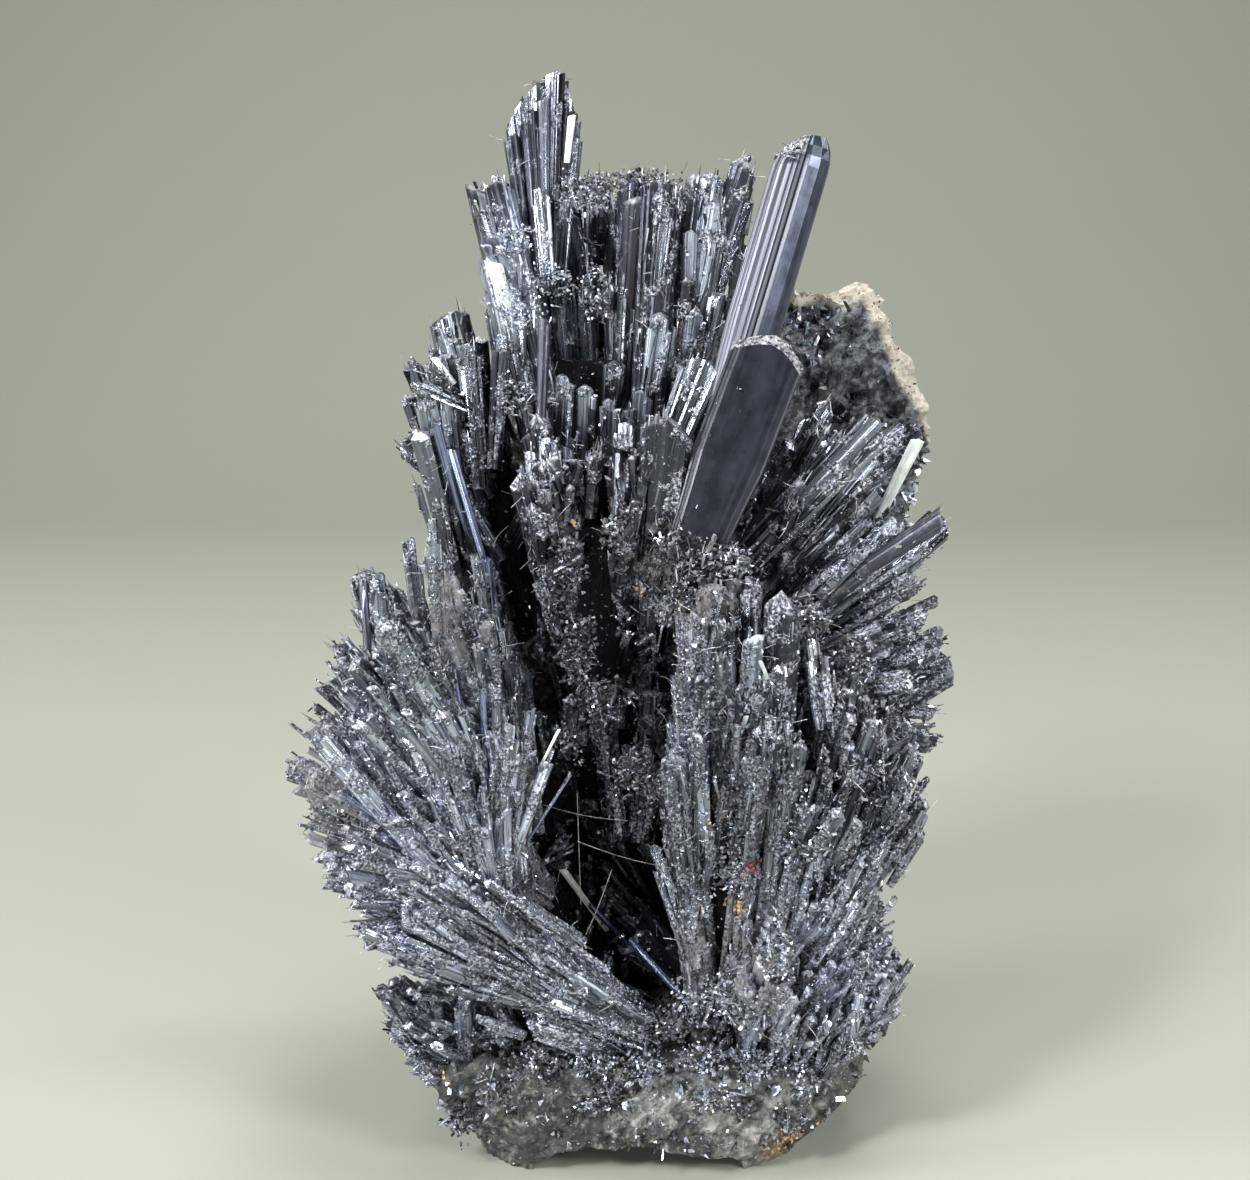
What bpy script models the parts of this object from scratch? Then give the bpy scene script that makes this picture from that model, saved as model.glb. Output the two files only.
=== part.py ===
"""Stibnite crystal spray on its matrix, standing on the matrix's cut underside.

Radiating sprays of long prismatic crystals grow from a rock matrix that has a base and a
back slab. Each spray is one solid, because its crystals overlap, and neighbouring sprays meet
at growth boundaries, as they do in nature. Three large single crystals stand on their own.

Sizes and places are in millimetres, which MM turns into Blender's metres. +Z is up, -Y is the
specimen's front, and the origin is on the underside. Angles are in degrees.
"""

import math
import random
from collections import namedtuple

import bmesh
import bpy
from mathutils import Matrix, Vector, noise

MM = 0.001

# ---------------------------------------------------------------- driving dimensions
GAP = 0.34  # free space between neighbouring solids
CLIP_JITTER = 0.09  # growth boundaries differ this much from crystal to crystal
BASE_TOP = 9.8  # height of the matrix under the sprays
SLAB_FRONT = 8.0  # front of the matrix slab behind the sprays
ROCK_RELIEF = 2.4  # depth of the matrix's lumps and pits
ROCK_LUMP = 6.0  # size of one lump
ROCK_SIDES = 22  # points round each level of the matrix
ROCK_STEP = 4.2  # largest height between two levels
LEDGE_STEP = 4.8  # largest run between two levels where the rock steps back
CORNER = 0.62  # how square the matrix's outline is: 1 is an ellipse, 0 a box

# Finishes: colour, roughness and metallic value.
STIBNITE = ((0.16, 0.16, 0.18, 1.0), 0.35, 0.9)
STIBNITE_DARK = ((0.09, 0.09, 0.11, 1.0), 0.25, 0.9)
ROCK = ((0.36, 0.35, 0.32, 1.0), 0.9, 0.0)

# Matrix outline by height: height, left, right, front, back.
MATRIX_LEVELS = (
    (0.0, -12.5, 14.5, -10.5, 12.5),
    (2.0, -14.2, 16.5, -11.6, 14.0),
    (5.0, -16.5, 19.2, -12.2, 15.5),
    (8.0, -18.6, 20.6, -12.0, 16.5),
    (BASE_TOP - 0.8, -18.4, 20.6, -11.2, 17.5),
    (BASE_TOP, -17.5, 20.5, SLAB_FRONT, 17.5),
    (22.0, -19.5, 21.5, SLAB_FRONT, 20.0),
    (35.0, -18.5, 22.0, SLAB_FRONT, 19.0),
    (44.0, -15.5, 23.0, SLAB_FRONT, 18.0),
    (56.0, -12.0, 26.6, 10.7, 18.0),
    (61.0, -5.0, 25.6, 11.8, 18.2),
    (65.0, 9.0, 24.0, 12.7, 17.8),
    (68.4, 13.5, 21.0, 13.4, 17.2),
)
# The arch between the two front feet: centre, half width, height and how far back it goes.
ARCH_CENTRE = 1.0
ARCH_HALF_WIDTH = 8.4
ARCH_HEIGHT = 2.6
ARCH_FRONT, ARCH_BACK = -16.0, -4.5

# Growth boundaries: a point on each plane and its normal.
BOUNDARIES = {
    "matrix_top": ((0, 0, BASE_TOP + GAP / 2), (0, 0, 1)),
    "matrix_front": ((0, SLAB_FRONT - GAP / 2, 0), (0, 1, 0)),
    "matrix_brow": ((0, SLAB_FRONT - GAP / 2, 44.0), (0, 1, -0.22)),
    "left_cleft": ((2.0, -4.0, 10.0), (1, 0.3, 0.25)),
    "left_shoulder": ((-12.0, -6.0, 49.0), (0.15, 0.73, 0.68)),
    "crown_left": ((-7.5, 0, 45.0), (1, 0, 0.115)),
    "crown_right": ((4.5, 0, 46.0), (1, 0, -0.3)),
    "crown_floor": ((0, 0, 45.0), (0, 0.3, 1)),
    "ridge_back": ((0, -4.5, 50.0), (0, 1, 0.15)),
    "centre_right": ((4.6, 0, 40.0), (1, 0, -0.06)),
    "columns_back": ((0, -3.0, 20.0), (0, 1, 0.23)),
    "columns_left": ((4.6, 0, 48.0), (1, 0, -0.108)),
    "hollow_roof": ((0, 0, 24.0), (0, 0.2, 1)),
    "hollow_right": ((6.8, 0, 0), (1, 0, 0)),
}

# One sheaf of crystals: where it is rooted, how it leans (right, front), how far it opens
# (side, front), how wide its roots lie (side, front), its length and how that changes towards
# (side, front), how many crystals it has and how thick they are, and its random seed.
Sheaf = namedtuple("Sheaf", "root lean spread roots length slope count width seed")
# One crystal that is placed by hand: its two ends, width, thickness, turn and top.
Single = namedtuple("Single", "base tip width thickness roll top", defaults=(0.0, "flat"))
# A sheaf with its hand-placed crystals, the foot that it grows from (centre and radius), and
# the boundaries that it keeps to, each with the side that it is on.
Growth = namedtuple("Growth", "sheaf foot singles keep")

SPRAYS = {
    "left_fan": (
        Growth(
            Sheaf((-7.0, -2.5, 20.0), (-54, 5), (40, 25), (2.0, 3.4), 22.8, (0.46, -0.05), 27, 2.5, 11),
            ((-5.5, 1.0, 15.0), 6.5),
            (
                Single((-13.0, -6.0, 27.0), (-20.2, -3.2, 47.0), 2.8, 2.4),
                Single((-9.0, -4.0, 22.0), (-26.4, -3.0, 31.4), 2.4, 2.0),
            ),
            (("matrix_top", 1), ("matrix_front", -1), ("left_cleft", -1), ("left_shoulder", -1)),
        ),
        Growth(
            Sheaf((-8.5, -4.0, 26.0), (-17, 6), (14, 20), (2.0, 2.6), 23.5, (0.0, -0.05), 10, 2.4, 13),
            ((-8.0, -3.0, 24.0), 4.0),
            (Single((-8.0, -8.0, 24.0), (-14.2, -7.6, 48.6), 2.0, 1.7, 0.0, "point"),),
            (("left_cleft", -1), ("left_shoulder", -1)),
        ),
        Growth(
            Sheaf((2.0, -5.5, 12.5), (-74, 2), (13, 18), (1.0, 3.4), 21.5, (0.0, -0.05), 11, 2.2, 12),
            ((-3.0, -4.0, 12.0), 3.5),
            (),
            (("matrix_top", 1), ("left_cleft", -1)),
        ),
    ),
    "centre_ridge": (
        Growth(
            Sheaf((-1.0, 1.0, 24.0), (-4, 14), (16, 9), (3.4, 3.0), 22.0, (0.0, -0.12), 15, 2.5, 71),
            ((-1.0, 3.5, 28.0), 5.5),
            (),
            (("matrix_front", -1), ("left_cleft", 1), ("hollow_roof", 1), ("centre_right", -1),
             ("crown_floor", -1), ("crown_left", 1), ("columns_back", 1)),
        ),
        Growth(
            Sheaf((-1.6, -6.4, 43.0), (0, 12), (14, 8), (4.2, 1.6), 14.5, (0.0, -0.2), 16, 2.4, 72),
            ((-1.6, -5.5, 41.0), 4.0),
            (Single((1.9, -7.6, 44.0), (3.1, -10.0, 59.4), 4.2, 2.6),),
            (("left_cleft", 1), ("centre_right", -1), ("columns_left", -1), ("ridge_back", -1),
             ("crown_left", 1)),
        ),
    ),
    "hollow_prisms": (
        Growth(
            Sheaf((5.4, 2.6, 11.8), (-38, 4), (13, 12), (1.0, 3.0), 15.0, (0.1, -0.1), 7, 2.2, 21),
            ((4.6, 4.4, 12.0), 3.4),
            (),
            (("matrix_top", 1), ("matrix_front", -1), ("left_cleft", 1), ("columns_back", 1),
             ("hollow_right", -1), ("hollow_roof", -1)),
        ),
    ),
    "right_columns": (
        Growth(
            Sheaf((9.4, -5.0, 11.0), (9, 10), (17, 9), (3.8, 3.0), 32.5, (-0.26, -0.1), 32, 2.6, 31),
            ((10.5, -5.0, 13.0), 5.5),
            (
                Single((8.0, -8.0, 18.0), (6.6, -13.4, 47.8), 3.4, 2.6),
                Single((11.0, -8.0, 18.0), (11.4, -13.2, 46.2), 3.0, 2.4, 0.0, "point"),
            ),
            (("matrix_top", 1), ("columns_left", 1), ("columns_back", -1)),
        ),
        Growth(
            Sheaf((11.0, -4.5, 13.0), (56, 12), (24, 22), (2.5, 2.5), 11.5, (-0.12, -0.1), 12, 2.2, 32),
            ((11.0, -5.0, 13.0), 3.5),
            (),
            (("matrix_top", 1), ("columns_left", 1), ("columns_back", -1)),
        ),
    ),
    "right_fan": (
        Growth(
            Sheaf((6.0, 2.0, 36.0), (66, 3), (40, 20), (2.5, 4.0), 21.0, (-0.12, -0.06), 28, 2.6, 41),
            ((8.0, 4.5, 32.0), 6.5),
            (
                Single((9.0, -6.5, 48.5), (18.8, -6.2, 59.0), 2.8, 2.2),
                Single((13.0, 2.0, 49.0), (23.8, 5.6, 57.0), 2.2, 1.4),
                Single((12.0, 1.0, 38.0), (25.6, 3.2, 50.0), 3.0, 2.4),
                Single((12.0, 0.5, 33.5), (26.8, 1.6, 38.6), 3.2, 2.4),
                Single((12.0, 1.0, 31.0), (23.6, -0.4, 32.9), 1.7, 1.5),
            ),
            (("matrix_front", -1), ("centre_right", 1), ("columns_back", 1), ("crown_right", 1)),
        ),
        Growth(
            Sheaf((11.0, 2.8, 19.0), (72, 2), (42, 24), (2.5, 3.0), 10.6, (-0.06, 0.0), 12, 2.4, 42),
            ((11.0, 3.8, 22.5), 8.0),
            (),
            (("matrix_top", 1), ("matrix_front", -1), ("hollow_right", 1), ("columns_back", 1)),
        ),
    ),
    "left_columns": (
        Growth(
            Sheaf((-8.3, 2.2, 40.0), (-9, 0), (4, 10), (3.0, 4.2), 27.0, (0.1, -0.08), 20, 2.6, 51),
            ((-9.0, 3.0, 43.0), 5.0),
            (Single((-9.5, -3.0, 48.0), (-15.0, -4.2, 57.6), 1.6, 1.3, 0.0, "point"),),
            (("matrix_front", -1), ("matrix_brow", -1), ("left_shoulder", 1), ("crown_left", -1)),
        ),
        Growth(
            Sheaf((-10.5, 2.0, 52.5), (-27, 0), (17, 18), (1.5, 3.4), 9.5, (0.2, 0.0), 7, 1.8, 52),
            ((-10.5, 2.0, 53.0), 3.0),
            (),
            (("matrix_brow", -1), ("crown_left", -1)),
        ),
    ),
    "crown": (
        Growth(
            Sheaf((-0.8, 3.0, 48.0), (0, -3), (13, 10), (5.0, 4.2), 30.0, (0.0, 0.0), 27, 3.2, 61),
            ((-0.5, 3.0, 51.0), 6.0),
            (
                Single((3.6, -1.6, 60.0), (8.9, -1.0, 77.4), 2.3, 1.9, 0.0, "point"),
                Single((1.6, -2.2, 58.0), (2.8, -2.2, 76.4), 3.6, 2.2),
                Single((-5.8, -1.5, 60.0), (-9.6, -0.6, 76.4), 2.6, 2.1),
            ),
            (("matrix_brow", -1), ("crown_floor", 1), ("crown_left", 1), ("crown_right", -1),
             ("ridge_back", 1)),
        ),
    ),
}

# Which single crystals stand in the room of which spray.
ROOM_IN = {
    "crown": ("prism", "wedge"),
    "right_fan": ("prism", "blade"),
    "centre_ridge": ("prism", "blade"),
    "right_columns": ("blade",),
}

# Cross-section of a crystal, in half widths and half thicknesses.
SECTION = ((1.0, 0.0), (0.5, 0.92), (-0.5, 0.92), (-1.0, 0.0), (-0.5, -0.92), (0.5, -0.92))
SLIM_SECTION = ((1.0, 0.0), (0.0, 0.9), (-1.0, 0.0), (0.0, -0.9))
PRISM_SECTION = (
    (1.0, 0.05), (0.74, 0.66), (0.3, 0.98), (-0.3, 0.94), (-0.78, 0.6),
    (-1.0, -0.08), (-0.7, -0.72), (-0.2, -1.0), (0.36, -0.92), (0.8, -0.56),
)

# The large single crystals. The wedge is a close bundle of blades, given by their tips.
WEDGE_ROOT = (-6.0, 1.6, 68.0)
WEDGE_TIPS = (
    (-9.0, 1.2, 80.6),
    (-8.4, 1.6, 82.2),
    (-7.2, 1.4, 83.6),
    (-6.0, 1.8, 84.7),
    (-4.9, 1.6, 85.2),
    (-4.0, 1.8, 82.9),
    (-3.6, 1.5, 80.6),
)
WEDGE_BLADE = (2.3, 3.0)  # width and thickness of one blade
PRISM = ((6.3, -6.2, 55.0), (13.9, -1.0, 80.0), 4.2, 3.2, 168.0, "point", PRISM_SECTION)
BLADE = ((4.6, -11.0, 48.9), (10.9, -9.2, 65.6), 5.8, 2.0, 172.0, "flat")

CORE_SHARE = 0.72  # how far up its crystals the middle of a sheaf is grown together
CORE_SLIM = 0.84  # how wide that middle is, as a share of the sheaf
MOST_LOOSE = 60  # points of loose chips that may be left out of one spray
ROOT_TAPER = 0.72  # a crystal's width at its root, as a share of its full width
SIDE_STEP, FRONT_STEP = 0.7549, 0.5698  # steps that spread points evenly over a square


# ---------------------------------------------------------------- helpers
def metres(point):
    """A place in millimetres as a Blender vector in metres."""
    return Vector(point) * MM


def clear_scene():
    for obj in list(bpy.data.objects):
        bpy.data.objects.remove(obj)


def material(name, finish):
    """A Principled material for one piece."""
    colour, roughness, metallic = finish
    made = bpy.data.materials.new(name)
    made.use_nodes = True
    shader = made.node_tree.nodes["Principled BSDF"]
    shader.inputs["Base Color"].default_value = colour
    shader.inputs["Roughness"].default_value = roughness
    shader.inputs["Metallic"].default_value = metallic
    made.diffuse_color = colour
    return made


def add_object(name, bm, finish=None):
    """A new object from a bmesh, with its normals out and a material of its own."""
    bmesh.ops.recalc_face_normals(bm, faces=bm.faces)
    mesh = bpy.data.meshes.new(name)
    bm.to_mesh(mesh)
    bm.free()
    obj = bpy.data.objects.new(name, mesh)
    bpy.context.scene.collection.objects.link(obj)
    if finish:
        mesh.materials.append(material(name, finish))
    return obj


def hide(obj):
    """Marks a cutter or an operand, which is no piece of the object."""
    obj.hide_render = True
    obj.display_type = "WIRE"
    return obj


def combine(obj, operand, operation):
    """Adds a Boolean to obj. Overlapping crystals in one mesh are fused as well."""
    boolean = obj.modifiers.new(operation.title(), "BOOLEAN")
    boolean.operation = operation
    boolean.object = operand
    boolean.use_self = operation == "UNION"


def keep_largest(bm):
    """Removes all but the largest connected body, such as a chip that a cut left loose."""
    left, bodies = set(bm.verts), []
    while left:
        reached, todo = set(), [left.pop()]
        while todo:
            vert = todo.pop()
            reached.add(vert)
            linked = {edge.other_vert(vert) for edge in vert.link_edges} & left
            left -= linked
            todo.extend(linked)
        bodies.append(reached)
    bodies.sort(key=len)
    loose = [vert for body in bodies[:-1] for vert in body]
    if len(loose) > MOST_LOOSE:
        raise ValueError(f"{len(loose)} points aren't joined to the rest")
    bmesh.ops.delete(bm, geom=loose, context="VERTS")


def apply_modifiers(obj):
    """Replaces obj's mesh by its evaluated one, as a single triangulated body."""
    graph = bpy.context.evaluated_depsgraph_get()
    result = bpy.data.meshes.new_from_object(obj.evaluated_get(graph))
    obj.modifiers.clear()
    bm = bmesh.new()
    bm.from_mesh(result)
    keep_largest(bm)
    bmesh.ops.triangulate(bm, faces=bm.faces)
    bm.to_mesh(obj.data)
    bm.free()


# ---------------------------------------------------------------- growth boundaries
def boundary(name, side, extra):
    """Point and outward normal of a boundary, for the solid on that side of it."""
    point, normal = BOUNDARIES[name]
    outward = Vector(normal).normalized() * -side
    return metres(point) - outward * (GAP / 2 + extra) * MM, outward


def clip(bm, keep, extra):
    """Cuts a convex body back to its side of each boundary, and closes it."""
    for name, side in keep:
        point, outward = boundary(name, side, extra)
        geometry = bm.verts[:] + bm.edges[:] + bm.faces[:]
        bmesh.ops.bisect_plane(bm, geom=geometry, plane_co=point, plane_no=outward, clear_outer=True)
        rim = [edge for edge in bm.edges if edge.is_boundary]
        if rim:
            bmesh.ops.holes_fill(bm, edges=rim, sides=0)


def inside(place, keep):
    """Whether a place is on the solid's side of all its boundaries."""
    sides = (boundary(name, side, 0.0) for name, side in keep)
    return all((place - point).dot(outward) < 0 for point, outward in sides)


# ---------------------------------------------------------------- crystals
def direction(right, front):
    """Unit vector that leans right and to the front by these angles from upright."""
    a, b = math.radians(right), math.radians(front)
    return Vector((math.sin(a) * math.cos(b), -math.sin(b), math.cos(a) * math.cos(b)))


def sheaf_crystals(sheaf):
    """The crystals of a sheaf, each as the arguments of crystal()."""
    draw = random.Random(sheaf.seed)
    across = direction(sheaf.lean[0] + 90, 0)
    for i in range(1, sheaf.count + 1):
        side = 2 * ((0.5 + i * SIDE_STEP) % 1) - 1
        front = 2 * ((0.5 + i * FRONT_STEP) % 1) - 1
        grow = direction(
            sheaf.lean[0] + side * sheaf.spread[0] + draw.uniform(-3, 3),
            sheaf.lean[1] + front * sheaf.spread[1] + draw.uniform(-3, 3),
        )
        base = Vector(sheaf.root) + across * side * sheaf.roots[0]
        base.y -= front * sheaf.roots[1]
        length = sheaf.length * (1 + side * sheaf.slope[0] + front * sheaf.slope[1])
        length *= draw.uniform(0.86, 1.04)
        width = sheaf.width * draw.uniform(0.75, 1.3)
        thickness = width * draw.uniform(0.6, 0.95)
        top = draw.choice(("flat", "flat", "point"))
        section = SECTION if i % 3 == 0 else SLIM_SECTION
        yield base, base + grow * length, width, thickness, draw.uniform(-35, 35), top, section


def crystal(base, tip, width, thickness, roll=0.0, top="point", section=SECTION, grow=0.0):
    """Bmesh of one prismatic crystal, its sizes in millimetres and its mesh in metres.

    Its top is a point or a slanted flat face, and grow adds that much all round.
    """
    base, tip = Vector(base), Vector(tip)
    axis = (tip - base).normalized()
    across = axis.cross(Vector((0, 1, 0)))
    if across.length < 0.2:
        across = axis.cross(Vector((1, 0, 0)))
    across = Matrix.Rotation(math.radians(roll), 3, axis) @ across.normalized()
    forward = axis.cross(across)
    base, tip = base - axis * grow, tip + axis * grow
    half_width, half_thickness = width / 2 + grow, thickness / 2 + grow
    shoulder = (tip - base).length - (0.55 * width if top == "point" else 0.3 * width)
    bm = bmesh.new()
    lower, upper = [], []
    for x, y in section:
        offset = across * x * half_width + forward * y * half_thickness
        slant = axis * x * (0.28 * width if top == "flat" else 0.0)
        lower.append(bm.verts.new((base + offset * ROOT_TAPER) * MM))
        upper.append(bm.verts.new((base + axis * shoulder + offset + slant) * MM))
    count = len(section)
    for i in range(count):
        j = (i + 1) % count
        bm.faces.new((lower[i], lower[j], upper[j], upper[i]))
    bm.faces.new(lower[::-1])
    if top == "flat":
        bm.faces.new(upper)
    else:
        apex = bm.verts.new((tip + across * 0.12 * width) * MM)
        for i in range(count):
            bm.faces.new((upper[i], upper[(i + 1) % count], apex))
    return bm


def join_into(target, bm):
    """Moves a bmesh's geometry into another as a body of its own."""
    held = bpy.data.meshes.new("held")
    bmesh.ops.recalc_face_normals(bm, faces=bm.faces)
    bm.to_mesh(held)
    bm.free()
    target.from_mesh(held)
    bpy.data.meshes.remove(held)


def core(growth):
    """Bmesh of the close-grown middle of a sheaf, from its foot to most of the way up it."""
    centre, radius = growth.foot
    bm = bmesh.new()
    bmesh.ops.create_icosphere(bm, subdivisions=1, radius=radius)
    points = [Vector(centre) + vert.co for vert in bm.verts]
    bm.clear()
    reach = [base.lerp(tip, CORE_SHARE) for base, tip, *_ in sheaf_crystals(growth.sheaf)]
    heart = sum(reach, Vector()) / len(reach)
    points += [heart.lerp(point, CORE_SLIM) for point in reach]
    for point in points:
        bm.verts.new(point * MM)
    bmesh.ops.convex_hull(bm, input=bm.verts)
    unused = [vert for vert in bm.verts if not vert.link_faces]
    bmesh.ops.delete(bm, geom=unused, context="VERTS")
    return bm


# ---------------------------------------------------------------- pieces
def superellipse(angle, left, right, front, back):
    """Point on a rounded rectangle between these sides."""
    c, s = math.cos(angle), math.sin(angle)
    x = math.copysign(abs(c) ** CORNER, c)
    y = math.copysign(abs(s) ** CORNER, s)
    return (left + right) / 2 + x * (right - left) / 2, (front + back) / 2 + y * (back - front) / 2


def matrix_levels():
    """The matrix's levels with more between them, so that no step is higher than ROCK_STEP."""
    for lower, upper in zip(MATRIX_LEVELS, MATRIX_LEVELS[1:]):
        rise, run = upper[0] - lower[0], abs(upper[3] - lower[3])
        steps = max(1, math.ceil(rise / ROCK_STEP), math.ceil(run / LEDGE_STEP))
        for i in range(steps):
            yield tuple(a + (b - a) * i / steps for a, b in zip(lower, upper))
    yield MATRIX_LEVELS[-1]


def build_matrix():
    """The rock: a base that flares from a flat underside, and a slab behind the sprays."""
    bm = bmesh.new()
    rings = []
    for height, *sides in matrix_levels():
        centre = Vector(((sides[0] + sides[1]) / 2, (sides[2] + sides[3]) / 2, height))
        ring = []
        for i in range(ROCK_SIDES):
            x, y = superellipse(2 * math.pi * i / ROCK_SIDES, *sides)
            place = Vector((x, y, height))
            inward = (centre - place).normalized()
            rough = noise.noise(place / ROCK_LUMP) + 0.5 * noise.noise(place / ROCK_LUMP * 2.7)
            relief = ROCK_RELIEF * min(1.0, 0.25 + height / 6) * abs(rough)
            ring.append(bm.verts.new((place + inward * relief) * MM))
        rings.append(ring)
    for lower, upper in zip(rings, rings[1:]):
        for i in range(ROCK_SIDES):
            j = (i + 1) % ROCK_SIDES
            bm.faces.new((lower[i], lower[j], upper[j], upper[i]))
    bm.faces.new(rings[0][::-1])
    bm.faces.new(rings[-1])
    bmesh.ops.triangulate(bm, faces=bm.faces)
    rock = add_object("matrix", bm, ROCK)
    cutter = arch_cutter()
    combine(rock, cutter, "DIFFERENCE")
    apply_modifiers(rock)
    bpy.data.objects.remove(cutter)


def arch_cutter():
    """The hollow under the front edge that leaves a foot on each side."""
    bm = bmesh.new()
    bmesh.ops.create_cone(bm, cap_ends=True, segments=24, radius1=1.0, radius2=1.0, depth=1.0)
    size = Vector((ARCH_HALF_WIDTH, ARCH_HEIGHT, ARCH_BACK - ARCH_FRONT)) * MM
    place = Matrix.Translation(metres((ARCH_CENTRE, (ARCH_FRONT + ARCH_BACK) / 2, 0)))
    bm.transform(place @ Matrix.Rotation(math.radians(90), 4, "X") @ Matrix.Diagonal(size).to_4x4())
    return hide(add_object("arch_cutter", bm))


def build_spray(name, growths, finish, cutters):
    """One spray: the cores and crystals of its sheaves fused, cut back to its own space."""
    draw = random.Random(name)
    bodies = []
    for growth in growths:
        middle = core(growth)
        clip(middle, growth.keep, CLIP_JITTER)
        bodies.append(middle)
        crystals = list(sheaf_crystals(growth.sheaf))
        for base, tip, *rest in growth.singles:
            crystals.append((Vector(base), Vector(tip), *rest))
        for base, tip, *rest in crystals:
            if inside(metres(base.lerp(tip, 0.5)), growth.keep):
                one = crystal(base, tip, *rest)
                clip(one, growth.keep, CLIP_JITTER * draw.random())
                bodies.append(one)
    fuse(name, bodies, finish, cutters)


def wedge_blades():
    """The blades of the wedge, each as the arguments of crystal()."""
    width, thickness = WEDGE_BLADE
    for i, tip in enumerate(WEDGE_TIPS):
        base = Vector(WEDGE_ROOT) + Vector(((i - 3) * 0.25, 0.07 * (i % 3), 0.11 * i))
        yield base, tip, width, thickness + 0.13 * i, 4.0 * (i - 3), "point"


def fuse(name, bodies, finish=None, cutters=()):
    """One object of overlapping bodies, less the cutters. The first body is the operand."""
    together = bmesh.new()
    for body in bodies[1:]:
        join_into(together, body)
    obj = add_object(name, together, finish)
    operand = hide(add_object(name + "_core", bodies[0]))
    combine(obj, operand, "UNION")
    for cutter in cutters:
        combine(obj, cutter, "DIFFERENCE")
    apply_modifiers(obj)
    bpy.data.objects.remove(operand)
    return obj


def clearance_cutters():
    """The single crystals a little larger, which cut their own room out of the sprays."""
    blades = [crystal(*blade, grow=GAP) for blade in wedge_blades()]
    return {
        "prism": hide(add_object("prism_room", crystal(*PRISM, grow=GAP))),
        "blade": hide(add_object("blade_room", crystal(*BLADE, grow=GAP))),
        "wedge": hide(fuse("wedge_room", blades)),
    }


def main():
    clear_scene()
    cutters = clearance_cutters()
    build_matrix()
    for name, growths in SPRAYS.items():
        finish = STIBNITE_DARK if name == "hollow_prisms" else STIBNITE
        build_spray(name, growths, finish, [cutters[key] for key in ROOM_IN.get(name, ())])
    fuse("crown_wedge", [crystal(*blade) for blade in wedge_blades()], STIBNITE)
    add_object("striated_prism", crystal(*PRISM), STIBNITE)
    add_object("broad_blade", crystal(*BLADE), STIBNITE_DARK)


main()
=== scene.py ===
"""Stibnite crystal spray, dressed: striated crystals, rock, druse, hairs and dust.

The script lays the visual pieces over the frame that it loads. Places and sizes in the tables
are in millimetres, which MM turns into metres. +Z is up and -Y is the specimen's front. Angles
are in degrees.
"""

import math
import random
from collections import namedtuple

import bmesh
import bpy
import numpy as np
from bpy.props import FloatProperty, FloatVectorProperty, IntProperty, PointerProperty
from mathutils import Matrix, Vector, noise
from mathutils.bvhtree import BVHTree


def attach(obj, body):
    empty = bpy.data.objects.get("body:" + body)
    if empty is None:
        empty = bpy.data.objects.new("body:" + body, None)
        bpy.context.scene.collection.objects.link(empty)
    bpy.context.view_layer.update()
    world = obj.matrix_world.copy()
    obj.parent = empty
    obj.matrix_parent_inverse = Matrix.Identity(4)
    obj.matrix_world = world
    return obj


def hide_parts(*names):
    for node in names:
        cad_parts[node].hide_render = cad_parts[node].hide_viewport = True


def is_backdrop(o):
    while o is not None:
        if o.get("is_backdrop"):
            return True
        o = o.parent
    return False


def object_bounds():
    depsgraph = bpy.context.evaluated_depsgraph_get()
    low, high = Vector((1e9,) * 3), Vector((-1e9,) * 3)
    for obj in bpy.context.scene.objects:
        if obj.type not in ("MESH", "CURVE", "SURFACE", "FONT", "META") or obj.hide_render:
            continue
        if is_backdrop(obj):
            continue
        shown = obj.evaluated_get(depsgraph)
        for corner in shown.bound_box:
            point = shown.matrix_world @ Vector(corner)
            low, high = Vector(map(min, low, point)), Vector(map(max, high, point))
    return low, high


bl_info = {
    "name": "Stibnite crystal spray",
    "version": (1, 0, 0),
    "blender": (4, 5, 0),
    "location": "View3D > Sidebar > Specimen",
    "description": "Builds a stibnite crystal spray on its rock, with druse, hairs and dust",
    "category": "Add Mesh",
}

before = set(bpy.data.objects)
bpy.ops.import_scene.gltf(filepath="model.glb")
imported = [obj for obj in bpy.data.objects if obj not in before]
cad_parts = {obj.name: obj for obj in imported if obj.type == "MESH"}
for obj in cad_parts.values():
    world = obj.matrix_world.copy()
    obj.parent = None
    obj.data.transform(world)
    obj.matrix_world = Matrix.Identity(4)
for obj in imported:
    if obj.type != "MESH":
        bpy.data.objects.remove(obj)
CAD_LOW, CAD_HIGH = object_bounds()

MM = 0.001
BODY = "root"
GOLDEN = 2.399963  # turn between neighbours that spreads points evenly over a disc

# ---------------------------------------------------------------- growth of the crystals
GAP = 0.34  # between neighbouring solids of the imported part
BASE_TOP = 9.8  # top of the rock's foot
SLAB_FRONT = 8.0  # front of the rock's upright slab

# The bare rim of the ledge: below this height, and inside this slope at its right.
RIM_TOP = 67.4
RIM_SLOPE = (0.878, 0.0, 0.478)
RIM_REACH = 50.3

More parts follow.
